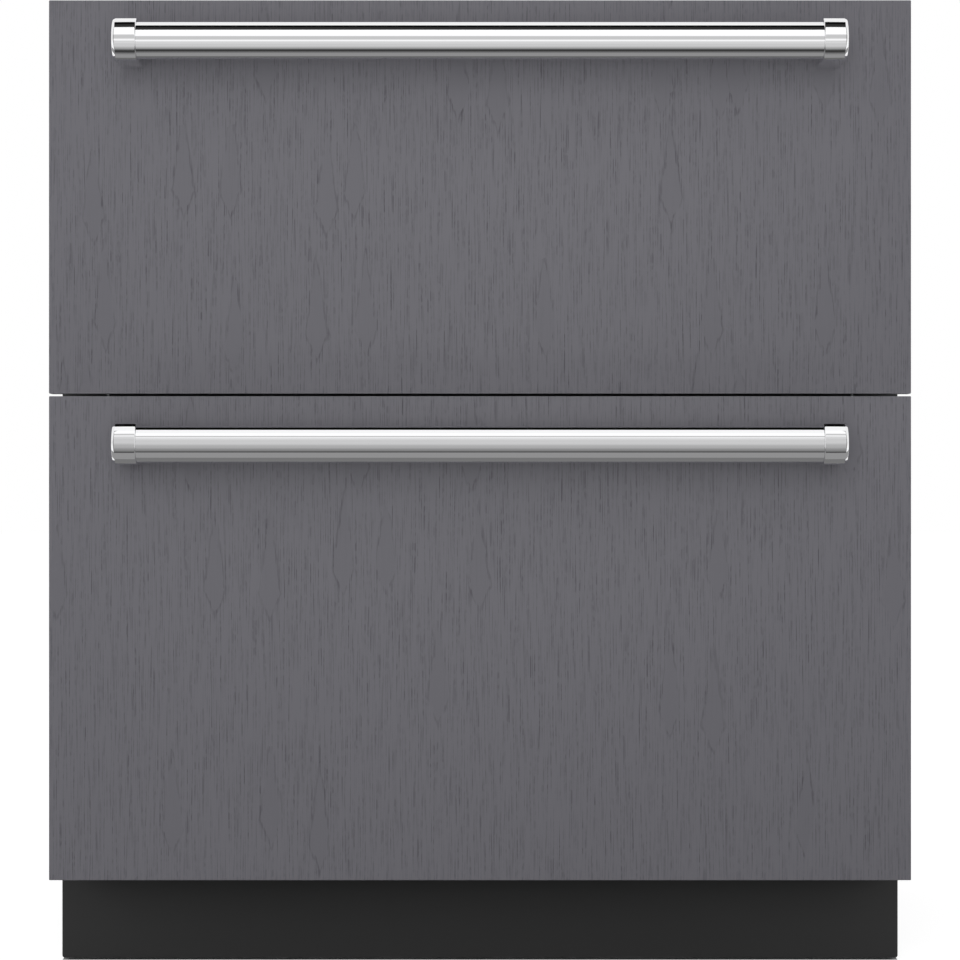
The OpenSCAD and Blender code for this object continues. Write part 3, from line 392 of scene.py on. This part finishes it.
def wood_figure():
    """Open-pored veneer: upright lines of pores, and smooth pointed pockets among them."""
    tree, g, get, put = group(
        "Wood figure",
        [("Vector", "Vector", (0, 0, 0)), ("Wood", "Color", (0.13, 0.13, 0.14, 1)),
         ("Pores", "Color", (0.07, 0.07, 0.08, 1)), ("Figure", "Float", 1.0)],
        [("Color", "Color"), ("Roughness", "Float"), ("Height", "Float")])
    place = get["Vector"]
    sway = g.math("MULTIPLY", g.noise(g.times(place, (6.0, 6.0, 2.4)), 2.0, 0.45), 0.016)
    drift = g.add("ShaderNodeCombineXYZ", {"X": sway}).outputs[0]
    fibre = g.add("ShaderNodeVectorMath", {0: place, 1: drift}, operation="ADD").outputs[0]
    pocket, border = flames(g, fibre)
    clump = g.ramp(g.noise(g.times(fibre, (34.0, 34.0, 6.0)), 1.0),
                   [(0.0, 0.0), (0.6, 0.0), (0.72, 1.0)])
    weight = g.math("MULTIPLY_ADD", clump, 0.2, g.math("MULTIPLY_ADD", pocket, -0.9, 1.0))
    lines = g.math("MULTIPLY", pore_rows(g, place), weight)
    lines = g.math("MULTIPLY_ADD", pocket, 0.1, lines)
    dark = g.math("MULTIPLY_ADD", border, 0.36, lines, clamp=True)
    shadow = g.math("MULTIPLY", dark, get["Figure"], clamp=True)
    tone = g.math("MULTIPLY_ADD", g.noise(g.times(place, (5.0, 5.0, 1.5)), 2.0), 0.04, 0.98)
    g.feed(put["Color"], g.shade_colour(g.mix(shadow, get["Wood"], get["Pores"]), tone))
    g.feed(put["Roughness"], g.math("MULTIPLY_ADD", dark, 0.2, 0.42))
    g.feed(put["Height"], g.math("SUBTRACT", 1.0, dark))
    return tree


def surface_grain():
    """Fine grain and broad patches, for paint, plastic, sheet metal and castings."""
    tree, g, get, put = group(
        "Surface grain",
        [("Color", "Color", (0.5, 0.5, 0.5, 1)), ("Stretch", "Vector", (900, 900, 900)),
         ("Contrast", "Float", 0.1), ("Roughness", "Float", 0.5), ("Spread", "Float", 0.1)],
        [("Color", "Color"), ("Roughness", "Float"), ("Height", "Float")])
    place = g.add("ShaderNodeTexCoord").outputs["Object"]
    fine = g.noise(g.add("ShaderNodeVectorMath", {0: place, 1: get["Stretch"]},
                         operation="MULTIPLY").outputs[0], 3.0, 0.6)
    broad = g.noise(g.times(place, (7.0, 7.0, 7.0)), 4.0, 0.6)
    swing = g.math("MULTIPLY_ADD", g.math("SUBTRACT", broad, 0.5), 0.6,
                   g.math("SUBTRACT", fine, 0.5))
    factor = g.math("MULTIPLY_ADD", swing, get["Contrast"], 1.0)
    g.feed(put["Color"], g.shade_colour(get["Color"], factor))
    mottle = g.math("MULTIPLY", g.math("SUBTRACT", broad, 0.5), 1.6)
    rough = g.math("MULTIPLY_ADD", g.math("ADD", mottle, g.math("SUBTRACT", fine, 0.5)),
                   get["Spread"], get["Roughness"], clamp=True)
    g.feed(put["Roughness"], rough)
    g.feed(put["Height"], fine)
    return tree


def edge_wear():
    """Mask along the twelve edges of a box, broken up as rubbed finish is."""
    tree, g, get, put = group(
        "Edge wear",
        [("Centre", "Vector", (0, 0, 0)), ("Half", "Vector", (1, 1, 1)), ("Width", "Float", 0.002)],
        [("Mask", "Float")])
    place = g.add("ShaderNodeTexCoord").outputs["Object"]
    away = g.add("ShaderNodeVectorMath", {0: place, 1: get["Centre"]}, operation="SUBTRACT")
    away = g.add("ShaderNodeVectorMath", {0: away.outputs[0]}, operation="ABSOLUTE")
    depth = g.add("ShaderNodeVectorMath", {0: get["Half"], 1: away.outputs[0]},
                  operation="SUBTRACT")
    depth = g.add("ShaderNodeSeparateXYZ", {0: depth.outputs[0]}).outputs
    total = 0.0
    for axis in "XYZ":
        close = g.math("SUBTRACT", 1.0, g.math("DIVIDE", depth[axis], get["Width"]), clamp=True)
        total = g.math("ADD", total, close)
    corner = g.math("SUBTRACT", total, 1.0, clamp=True)
    broken = g.noise(g.times(place, (60.0, 60.0, 60.0)), 5.0, 0.7)
    broken = g.ramp(broken, [(0.0, 0.0), (0.45, 0.0), (0.62, 1.0)])
    g.feed(put["Mask"], g.math("MULTIPLY", corner, broken))
    return tree


def dust():
    """Mask of dust settled on what faces up."""
    tree, g, get, put = group("Dust", [("Amount", "Float", 0.3)], [("Mask", "Float")])
    up = g.add("ShaderNodeSeparateXYZ",
               {0: g.add("ShaderNodeNewGeometry").outputs["Normal"]}).outputs["Z"]
    place = g.add("ShaderNodeTexCoord").outputs["Object"]
    cloud = g.noise(g.times(place, (18.0, 18.0, 18.0)), 5.0, 0.65)
    lying = g.math("MULTIPLY", g.ramp(up, [(0.0, 0.0), (0.55, 0.0), (1.0, 1.0)]), cloud)
    g.feed(put["Mask"], g.math("MULTIPLY", lying, get["Amount"], clamp=True))
    return tree


MADE_GROUPS = {}


def shared(builder):
    """The group that builder makes, made on its first use."""
    if builder not in MADE_GROUPS:
        MADE_GROUPS[builder] = builder()
    return MADE_GROUPS[builder]


def place_group(graph, builder, inputs):
    node = graph.add("ShaderNodeGroup", node_tree=shared(builder))
    for key, value in inputs.items():
        graph.feed(node.inputs[key], value)
    return node.outputs


def new_material(name):
    material = bpy.data.materials.new(name)
    material.use_nodes = True
    material.node_tree.nodes.clear()
    graph = Graph(material.node_tree)
    shader = graph.add("ShaderNodeBsdfPrincipled")
    out = graph.add("ShaderNodeOutputMaterial")
    graph.feed(out.inputs["Surface"], shader.outputs[0])
    return material, graph, shader


def bump(graph, shader, height, depth):
    node = graph.add("ShaderNodeBump", {"Height": height, "Strength": 0.6, "Distance": depth})
    graph.feed(shader.inputs["Normal"], node.outputs["Normal"])


# Finishes by material slot: colour, metallic, roughness, spread of roughness, contrast,
# stretch of the grain per metre, depth of the grain in mm, dust, and other shader values.
PLAIN = (900.0, 900.0, 900.0)
ALONG_X = (30.0, 1600.0, 1600.0)
ALONG_Y = (1600.0, 30.0, 1600.0)
SPANGLE = (90.0, 90.0, 90.0)
FINISHES = {
    "cabinet_paint": ((0.045, 0.045, 0.047), 0.0, 0.5, 0.12, 0.2, PLAIN, 0.03, 0.3, {}),
    "rail_black": ((0.012, 0.012, 0.012), 0.0, 0.4, 0.12, 0.3, PLAIN, 0.02, 0.1, {}),
    "zinc_sheet": ((0.56, 0.57, 0.58), 1.0, 0.42, 0.3, 0.3, SPANGLE, 0.01, 0.3, {}),
    "zinc_steel": ((0.60, 0.61, 0.62), 1.0, 0.34, 0.2, 0.12, ALONG_Y, 0.01, 0.15, {}),
    "ball_steel": ((0.66, 0.66, 0.66), 1.0, 0.16, 0.1, 0.08, PLAIN, 0.004, 0.0, {}),
    "foam": ((0.70, 0.62, 0.36), 0.0, 0.9, 0.1, 0.3, (500.0, 500.0, 500.0), 0.4, 0.0, {}),
    "liner_white": ((0.80, 0.81, 0.82), 0.0, 0.32, 0.12, 0.03, PLAIN, 0.02, 0.0,
                    {"Coat Weight": 0.15}),
    "front_grey": ((0.46, 0.47, 0.48), 0.0, 0.46, 0.1, 0.06, PLAIN, 0.03, 0.1, {}),
    "bin_plastic": ((0.80, 0.83, 0.85), 0.0, 0.34, 0.16, 0.05, PLAIN, 0.03, 0.0,
                    {"Transmission Weight": 0.12, "IOR": 1.49}),
    "divider_plastic": ((0.70, 0.79, 0.85), 0.0, 0.16, 0.1, 0.04, PLAIN, 0.01, 0.0,
                        {"Transmission Weight": 0.75, "IOR": 1.49}),
    "rubber": ((0.035, 0.035, 0.037), 0.0, 0.72, 0.12, 0.25, PLAIN, 0.05, 0.15, {}),
    "black_plastic": ((0.03, 0.03, 0.032), 0.0, 0.5, 0.12, 0.25, PLAIN, 0.05, 0.2, {}),
    "grey_plastic": ((0.42, 0.43, 0.44), 0.0, 0.52, 0.12, 0.08, PLAIN, 0.05, 0.3, {}),
    "machine_black": ((0.02, 0.02, 0.02), 0.0, 0.24, 0.14, 0.3, (120.0, 120.0, 120.0), 0.05, 0.45,
                      {"Coat Weight": 0.4}),
    "condenser_black": ((0.05, 0.05, 0.05), 0.3, 0.5, 0.14, 0.3, PLAIN, 0.02, 0.45, {}),
    "coil_aluminium": ((0.66, 0.67, 0.68), 1.0, 0.34, 0.2, 0.14, ALONG_X, 0.01, 0.05, {}),
    "copper": ((0.72, 0.38, 0.25), 1.0, 0.34, 0.24, 0.35, SPANGLE, 0.01, 0.1, {}),
    "light_lens": ((0.93, 0.93, 0.90), 0.0, 0.3, 0.08, 0.02, ALONG_X, 0.02, 0.0,
                   {"Subsurface Weight": 0.1}),
    "button_metal": ((0.62, 0.62, 0.63), 1.0, 0.26, 0.14, 0.1, ALONG_X, 0.006, 0.0, {}),
}
DUST = (0.34, 0.33, 0.31, 1.0)


def plain_finish(slot):
    base, metallic, rough, spread, contrast, stretch, depth, settled, others = FINISHES[slot]
    material, g, shader = new_material(slot)
    grain = place_group(g, surface_grain, {
        "Color": (*base, 1.0), "Stretch": stretch, "Contrast": contrast, "Roughness": rough,
        "Spread": spread})
    tint, roughness = grain["Color"], grain["Roughness"]
    if settled:
        lying = place_group(g, dust, {"Amount": settled})["Mask"]
        tint = g.mix(lying, tint, DUST)
        roughness = g.math("MULTIPLY_ADD", lying, 0.5, roughness, clamp=True)
    g.feed(shader.inputs["Base Color"], tint)
    g.feed(shader.inputs["Roughness"], roughness)
    bump(g, shader, grain["Height"], depth * MM)
    shader.inputs["Metallic"].default_value = metallic
    for key, value in others.items():
        shader.inputs[key].default_value = value
    return material


def wood_finish(node):
    """Stained wood of one drawer's front, with its rubbed edges."""
    colours = settings("colours")
    material, g, shader = new_material(node + "_wood")
    low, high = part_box(node)
    place = g.add("ShaderNodeTexCoord").outputs["Object"]
    shift = (0.0, 0.0, 0.0) if node.startswith("upper") else (0.31, 0.0, 0.12)
    moved = g.add("ShaderNodeMapping", {"Vector": place, "Location": shift}).outputs[0]
    figure = place_group(g, wood_figure, {
        "Vector": moved, "Wood": (*colours.wood, 1.0), "Pores": (*colours.pores, 1.0),
        "Figure": colours.figure})
    worn = place_group(g, edge_wear, {
        "Centre": (low + high) / 2, "Half": (high - low) / 2, "Width": 0.0012})["Mask"]
    rubbed = g.math("MULTIPLY", worn, colours.wear)
    pale = tuple(min(1.0, c * 1.7) for c in colours.wood)
    g.feed(shader.inputs["Base Color"], g.mix(rubbed, figure["Color"], (*pale, 1.0)))
    g.feed(shader.inputs["Roughness"], figure["Roughness"])
    shader.inputs["Specular IOR Level"].default_value = 0.25
    bump(g, shader, figure["Height"], 0.12 * MM)
    return material


def steel_finish():
    """Polished steel with faint polishing lines along the handle."""
    material, g, shader = new_material("polished_steel")
    grain = place_group(g, surface_grain, {
        "Color": (*settings("colours").steel, 1.0), "Stretch": (24.0, 2200.0, 2200.0),
        "Contrast": 0.05, "Roughness": 0.045, "Spread": 0.04})
    g.feed(shader.inputs["Base Color"], grain["Color"])
    g.feed(shader.inputs["Roughness"], grain["Roughness"])
    bump(g, shader, grain["Height"], 0.0006 * MM)
    shader.inputs["Metallic"].default_value = 1.0
    return material


def kick_finish():
    """Matt black paint, rubbed grey along the plate's edges."""
    colours = settings("colours")
    material, g, shader = new_material("kick_black")
    low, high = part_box("kick_plate")
    grain = place_group(g, surface_grain, {
        "Color": (*colours.kick, 1.0), "Stretch": PLAIN, "Contrast": 0.2, "Roughness": 0.62,
        "Spread": 0.12})
    worn = place_group(g, edge_wear, {
        "Centre": (low + high) / 2, "Half": (high - low) / 2, "Width": 0.0015})["Mask"]
    rubbed = g.math("MULTIPLY", worn, colours.wear)
    tint = g.mix(rubbed, grain["Color"], (0.07, 0.07, 0.07, 1.0))
    g.feed(shader.inputs["Base Color"], tint)
    g.feed(shader.inputs["Roughness"], grain["Roughness"])
    bump(g, shader, grain["Height"], 0.03 * MM)
    return material


MADE_FINISHES = {}


def finish_for(node):
    """The material of a node's slot, made on its first use. Each wooden front has its own."""
    slot = slot_of(node)
    key = node if slot == "panel_wood" else slot
    if key not in MADE_FINISHES:
        special = {"polished_steel": steel_finish, "kick_black": kick_finish,
                   "panel_wood": lambda: wood_finish(node)}
        MADE_FINISHES[key] = special[slot]() if slot in special else plain_finish(slot)
    return MADE_FINISHES[key]


# ---------------------------------------------------------------- pieces

class REFRIGERATOR_OT_handles(bpy.types.Operator):
    """Polished tubes in round-nosed end brackets with sloped rims, one pair for each drawer"""
    bl_idname = "refrigerator.handles"
    bl_label = "Handles"

    def execute(self, context):
        sizes = settings("handles")
        tube = self.tube(sizes)
        brackets = self.brackets(sizes)
        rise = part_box("lower_handle_tube")[0].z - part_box("upper_handle_tube")[0].z
        low_tube = copy_piece(tube, "lower_handle.tube", (0, 0, rise))
        low_brackets = copy_piece(brackets, "lower_handle.brackets", (0, 0, rise))
        stand_for(tube, "upper_handle_tube")
        stand_for(brackets, "upper_handle_brackets")
        stand_for(low_tube, "lower_handle_tube")
        stand_for(low_brackets, "lower_handle_brackets")
        return {"FINISHED"}

    def tube(self, sizes):
        low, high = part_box("upper_handle_tube")
        radius = (high.z - low.z) / 2
        bpy.ops.mesh.primitive_cylinder_add(
            vertices=128, radius=radius, depth=high.x - low.x, location=(low + high) / 2,
            rotation=(0, math.pi / 2, 0))
        tube = named("upper_handle.tube")
        edit(tube)
        pick(tube, "FACE", lambda f: abs(f.normal.x) > 0.9)
        bpy.ops.mesh.inset(thickness=sizes.tube_wall)
        bpy.ops.mesh.bridge_edge_loops()
        leave_edit()
        shade(tube)
        return tube

    def brackets(self, sizes):
        low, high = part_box("upper_handle_brackets")
        tube_low, tube_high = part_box("upper_handle_tube")
        inner = high.x - sizes.bracket_width
        rim = high.x - sizes.rim_width
        radius = (high.z - low.z) / 2
        axis = Vector((0, low.y + radius, (low.z + high.z) / 2))
        bpy.ops.mesh.primitive_cylinder_add(
            vertices=144, radius=radius, depth=rim - inner,
            location=(axis + Vector(((inner + rim) / 2, 0, 0))),
            rotation=(0, math.pi / 2, 0))
        bracket = named("upper_handle.brackets")
        edit(bracket)
        bpy.ops.mesh.select_all(action="SELECT")
        bpy.ops.mesh.bisect(plane_co=axis, plane_no=(0, 1, 0), use_fill=True, clear_outer=True)
        pick(bracket, "FACE", lambda f: f.normal.y > 0.9)
        bpy.ops.mesh.extrude_region_move(
            TRANSFORM_OT_translate={"value": (0, high.y - axis.y, 0)})
        pick(bracket, "FACE", lambda f: f.normal.x > 0.9)
        bpy.ops.mesh.extrude_region_move(
            TRANSFORM_OT_translate={"value": (sizes.rim_width, 0, 0)})
        bpy.ops.transform.resize(
            value=(1, 1 - sizes.rim_drop / (high.y - low.y), 1 - sizes.rim_drop / radius),
            center_override=(high.x, high.y, axis.z))
        for side, width, steps in ((high.x, sizes.outer_round, 3), (rim, sizes.outer_round, 2),
                                   (inner, sizes.inner_round, 4)):
            pick(bracket, "EDGE", lambda e: on_plane(e, 0, side) and not on_plane(e, 1, high.y)
                 and e.calc_face_angle(0.0) > 0.1)
            bpy.ops.mesh.bevel(offset=width, segments=steps, affect="EDGES")
        leave_edit()
        socket = self.socket(tube_low, tube_high, inner)
        apply_modifier(bracket, "BOOLEAN", operation="DIFFERENCE", object=socket, solver="EXACT")
        bpy.data.objects.remove(socket)
        apply_modifier(bracket, "MIRROR", use_axis=(True, False, False), use_mirror_merge=False)
        recalculate(bracket)
        shade(bracket)
        return bracket

    def socket(self, tube_low, tube_high, inner):
        """The round hole that a tube's end sits in."""
        middle = (tube_low + tube_high) / 2
        bpy.ops.mesh.primitive_cylinder_add(
            vertices=128, radius=(tube_high.z - tube_low.z) / 2 + 0.05 * MM,
            depth=2 * (tube_high.x - inner), location=(inner, middle.y, middle.z),
            rotation=(0, math.pi / 2, 0))
        return named("socket")


class REFRIGERATOR_OT_wood_fronts(bpy.types.Operator):
    """Wooden slabs of both drawers, with eased edges"""
    bl_idname = "refrigerator.wood_fronts"
    bl_label = "Wood fronts"

    def execute(self, context):
        for drawer in DRAWERS:
            node = drawer + "_drawer_panel"
            low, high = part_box(node)
            panel = merged_copy(node, drawer + "_front.wood")
            edit(panel)

            def is_rim(edge):
                return (on_plane(edge, 1, low.y) or self.is_corner(edge, low, high)) and any(
                    on_plane(edge, axis, side[axis]) for axis in (0, 2) for side in (low, high))

            pick(panel, "EDGE", is_rim)
            bpy.ops.mesh.bevel(offset=settings("edges").wood_round, segments=3, affect="EDGES")
            leave_edit()
            shade(panel)
            stand_for(panel, node)
        return {"FINISHED"}

    def is_corner(self, edge, low, high):
        """Whether an edge runs front to back along a corner of the slab."""
        return (any(on_plane(edge, 0, side.x) for side in (low, high))
                and any(on_plane(edge, 2, side.z) for side in (low, high)))


class REFRIGERATOR_OT_kick_plate(bpy.types.Operator):
    """Black plate under the lower drawer"""
    bl_idname = "refrigerator.kick_plate"
    bl_label = "Kick plate"

    def execute(self, context):
        soften("kick_plate", settings("edges").sheet_round)
        return {"FINISHED"}


class REFRIGERATOR_OT_finishes(bpy.types.Operator):
    """Gives every carried-over part its paint, plastic or metal"""
    bl_idname = "refrigerator.finishes"
    bl_label = "Finishes"

    def execute(self, context):
        for name, node in frame["nodes"].items():
            if not node.hide_render:
                node.data.materials.clear()
                node.data.materials.append(finish_for(name))
        return {"FINISHED"}


# ---------------------------------------------------------------- stage

# Lamps: name, place, what it faces, size, and share of the lamps' power.
LAMPS = (
    ("key", (-0.3, -3.0, 1.6), (0, 0, 0.4), 1.2, 1.06),
    ("low_fill", (0.0, -2.9, 0.35), (0, 0, 0.1), 1.2, 1.55),
    ("left_fill", (-3.0, -1.2, 1.2), (0, 0, 0.3), 2.0, 0.95),
    ("right_fill", (3.0, -1.2, 1.2), (0, 0, 0.3), 2.0, 0.5),
    ("back_fill", (0.0, 3.2, 2.2), (0, 0, 0.4), 2.4, 0.6))
# What the floor adds to its own light where it is seen as the background; it is left out under the
# cabinet, which paints a shadow there.
FLOOR_GLOW = 0.82
# Foot and top of the front card, and its brightness at heights between them, in metres.
CARD_FOOT, CARD_TOP = -0.6, 2.4
BANDS = (
    (-0.6, 0.24), (0.0, 0.2), (0.02, 0.06), (0.1, 0.08), (0.14, 0.19), (0.22, 0.23), (0.28, 0.3),
    (0.33, 0.38), (0.41, 0.41), (0.45, 0.51), (0.49, 0.57), (0.61, 0.56), (0.66, 0.66),
    (0.71, 0.6), (0.729, 0.83), (0.767, 0.94), (0.786, 0.83), (0.8, 0.55), (0.9, 0.55),
    (0.93, 0.68), (0.94, 1.0), (2.4, 1.0))
# Narrow cards along the handles: drawer, height over the handle's axis, front and back edge
# from that axis, in mm, and brightness.
STRIPS = (
    ("upper", 60.0, -43.0, -21.0, 0.035),
    ("upper", 60.0, -21.0, -3.0, 0.004),
    ("upper", -60.0, -35.0, -19.4, 0.05),
    ("upper", -60.0, -19.4, -8.4, 0.2),
    ("upper", -60.0, -8.4, 20.7, 0.31),
    ("upper", -60.0, 20.7, 44.0, 0.16),
    ("lower", 60.0, -30.0, 0.0, 1.08),
    ("lower", 60.0, 0.0, 33.0, 0.004),
    ("lower", -60.0, -8.0, 44.0, 0.2))


class REFRIGERATOR_OT_stage(bpy.types.Operator):
    """Pale floor with a painted shadow under the cabinet, soft lamps, the cards that polished metal
    reflects, and the camera
    """
    bl_idname = "refrigerator.stage"
    bl_label = "Stage"

    def execute(self, context):
        self.floor()
        self.world(context.scene)
        self.lamps()
        self.cards()
        self.camera(context.scene)
        context.scene.view_settings.view_transform = "Standard"
        return {"FINISHED"}

    def plane(self, name, size, location, rotation, material):
        clear_selection()
        bpy.ops.mesh.primitive_plane_add(size=1.0, location=location, rotation=rotation)
        plane = bpy.context.object
        plane.scale = (*size, 1.0)
        plane = named(name)
        plane.data.materials.append(material)
        return plane

    def seen(self, g):
        """Light Path's factor for rays from the camera, and in metal and glass."""
        path = g.add("ShaderNodeLightPath").outputs
        return g.math("MAXIMUM", path["Is Camera Ray"],
                      g.math("MAXIMUM", path["Is Glossy Ray"], path["Is Transmission Ray"]))

    def floor(self):
        material = bpy.data.materials.new("floor")
        material.use_nodes = True
        material.node_tree.nodes.clear()
        g = Graph(material.node_tree)
        lit = g.add("ShaderNodeBsdfDiffuse", {"Color": (0.78, 0.78, 0.78, 1.0)})
        shadowed = g.add("ShaderNodeBsdfDiffuse", {"Color": (0.42, 0.42, 0.42, 1.0)})
        front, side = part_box("kick_plate")[0].y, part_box("kick_plate")[1].x
        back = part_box("rear_cover")[1].y
        place = g.add("ShaderNodeSeparateXYZ", {
            0: g.add("ShaderNodeTexCoord").outputs["Object"]}).outputs
        # Painted shadow: in a box under the cabinet's footprint the floor's glow is left out, so
        # the floor there, and in the gap under the kick plate, is painted dark.
        inside = g.math("MULTIPLY", g.math("GREATER_THAN", place["Y"], front),
                        g.math("LESS_THAN", place["Y"], back))
        under = g.math("MULTIPLY", inside,
                       g.math("LESS_THAN", g.math("ABSOLUTE", place["X"]), side))
        level = g.math("MULTIPLY_ADD", under, -FLOOR_GLOW, FLOOR_GLOW)
        glow = g.add("ShaderNodeEmission", {"Color": (1, 1, 1, 1), "Strength": level})
        both = g.add("ShaderNodeAddShader", {0: shadowed.outputs[0], 1: glow.outputs[0]})
        mixed = g.add("ShaderNodeMixShader",
                      {0: self.seen(g), 1: lit.outputs[0], 2: both.outputs[0]})
        out = g.add("ShaderNodeOutputMaterial")
        g.feed(out.inputs["Surface"], mixed.outputs[0])
        self.plane("floor", (40.0, 40.0), (0, 0, 0), (0, 0, 0), material)

    def world(self, scene):
        world = bpy.data.worlds.new("studio")
        world.use_nodes = True
        world.node_tree.nodes.clear()
        g = Graph(world.node_tree)
        fill = settings("stage").fill
        white = g.add("ShaderNodeBackground", {"Color": (1, 1, 1, 1), "Strength": 1.0})
        soft = g.add("ShaderNodeBackground", {"Color": (1, 1, 1, 1), "Strength": fill})
        mixed = g.add("ShaderNodeMixShader",
                      {0: self.seen(g), 1: soft.outputs[0], 2: white.outputs[0]})
        out = g.add("ShaderNodeOutputWorld")
        g.feed(out.inputs["Surface"], mixed.outputs[0])
        scene.world = world

    def lamps(self):
        power = settings("stage").lamps
        for name, place, aim, size, share in LAMPS:
            data = bpy.data.lights.new(name, "AREA")
            data.shape = "SQUARE"
            data.size = size
            data.energy = power * share
            lamp = bpy.data.objects.new(name, data)
            bpy.context.scene.collection.objects.link(lamp)
            lamp.location = place
            lamp.rotation_euler = (Vector(aim) - Vector(place)).to_track_quat("-Z", "Y").to_euler()
            lamp.visible_glossy = False
            lamp.visible_camera = False

    def only_reflected(self, card):
        card.visible_camera = False
        card.visible_diffuse = False
        card.visible_shadow = False
        card.visible_transmission = False

    def cards(self):
        """Bright, grey and black cards close to the handles, seen only in reflections."""
        low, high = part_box("upper_handle_tube")
        near_y = (low.y + high.y) / 2 - settings("stage").card_distance
        front = self.card_material("front_card", 1.2, BANDS)
        grey = self.card_material("side_card", 0.12)
        for name, width, centre, top, material in (
                ("front_card", 1.0, 0.0, CARD_TOP, front), ("left_card", 0.12, -0.56, 1.5, grey),
                ("right_card", 0.12, 0.56, 1.5, grey)):
            self.only_reflected(self.plane(
                name, (width, top - CARD_FOOT), (centre, near_y, (top + CARD_FOOT) / 2),
                (math.pi / 2, 0, 0), material))
        wide = 2 * (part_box("upper_handle_brackets")[1].x + 12 * MM)
        for number, (drawer, rise, near_edge, far_edge, level) in enumerate(STRIPS):
            low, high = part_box(drawer + "_handle_tube")
            axis = (low + high) / 2
            name = "strip_card_%d" % number
            self.only_reflected(self.plane(
                name, (wide, (far_edge - near_edge) * MM),
                (0, axis.y + (near_edge + far_edge) / 2 * MM, axis.z + rise * MM),
                (math.pi, 0, 0), self.card_material(name, level)))
        foot_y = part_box("kick_plate")[0].y
        low = self.card_material("floor_card", 0.32)
        self.only_reflected(self.plane(
            "floor_card", (3.0, foot_y - near_y), (0, (foot_y + near_y) / 2, 0.002), (0, 0, 0),
            low))

    def card_material(self, name, strength, bands=None):
        material = bpy.data.materials.new(name)
        material.use_nodes = True
        material.node_tree.nodes.clear()
        g = Graph(material.node_tree)
        glow = g.add("ShaderNodeEmission", {"Color": (1, 1, 1, 1), "Strength": strength})
        if bands:
            height = g.add("ShaderNodeSeparateXYZ", {
                0: g.add("ShaderNodeTexCoord").outputs["Object"]}).outputs["Z"]
            span = CARD_TOP - CARD_FOOT
            share = g.math("DIVIDE", g.math("SUBTRACT", height, CARD_FOOT), span)
            stops = [((z - CARD_FOOT) / span, level) for z, level in bands]
            g.feed(glow.inputs["Color"], g.ramp(share, stops))
        out = g.add("ShaderNodeOutputMaterial")
        g.feed(out.inputs["Surface"], glow.outputs[0])
        return material

    def camera(self, scene):
        stage = settings("stage")
        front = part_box("upper_drawer_panel")[0].y
        data = bpy.data.cameras.new("camera")
        data.sensor_width = 36.0
        data.lens = 36.0 * stage.distance / stage.frame_width
        data.clip_start, data.clip_end = 0.05, 60.0
        camera = bpy.data.objects.new("camera", data)
        scene.collection.objects.link(camera)
        camera.location = (0.0, front - stage.distance, stage.eye_height)
        camera.rotation_euler = (math.pi / 2, 0.0, 0.0)
        scene.camera = camera


# ---------------------------------------------------------------- panel and run

OPERATORS = (REFRIGERATOR_OT_handles, REFRIGERATOR_OT_wood_fronts, REFRIGERATOR_OT_kick_plate,
             REFRIGERATOR_OT_finishes, REFRIGERATOR_OT_stage)


class REFRIGERATOR_PT_main(bpy.types.Panel):
    """Sizes, colours and steps of the refrigerator"""
    bl_idname = "REFRIGERATOR_PT_main"
    bl_label = "Refrigerator"
    bl_space_type = "VIEW_3D"
    bl_region_type = "UI"
    bl_category = "Refrigerator"

    def draw(self, context):
        for operator in OPERATORS:
            self.layout.operator(operator.bl_idname)
        for name, kind in GROUPS.items():
            box = self.layout.box()
            box.label(text=name.title())
            for key in kind.__annotations__:
                box.prop(settings(name), key)


def register():
    for cls in (*GROUPS.values(), *OPERATORS, REFRIGERATOR_PT_main):
        bpy.utils.register_class(cls)
    for name, kind in GROUPS.items():
        setattr(bpy.types.Scene, "refrigerator_" + name, bpy.props.PointerProperty(type=kind))


def unregister():
    for name in GROUPS:
        delattr(bpy.types.Scene, "refrigerator_" + name)
    for cls in reversed((*GROUPS.values(), *OPERATORS, REFRIGERATOR_PT_main)):
        bpy.utils.unregister_class(cls)


def main():
    register()
    clear_selection()
    bpy.ops.refrigerator.handles()
    bpy.ops.refrigerator.wood_fronts()
    bpy.ops.refrigerator.kick_plate()
    bpy.ops.refrigerator.finishes()
    bpy.ops.refrigerator.stage()
    clear_selection()


if __name__ == "__main__":
    main()
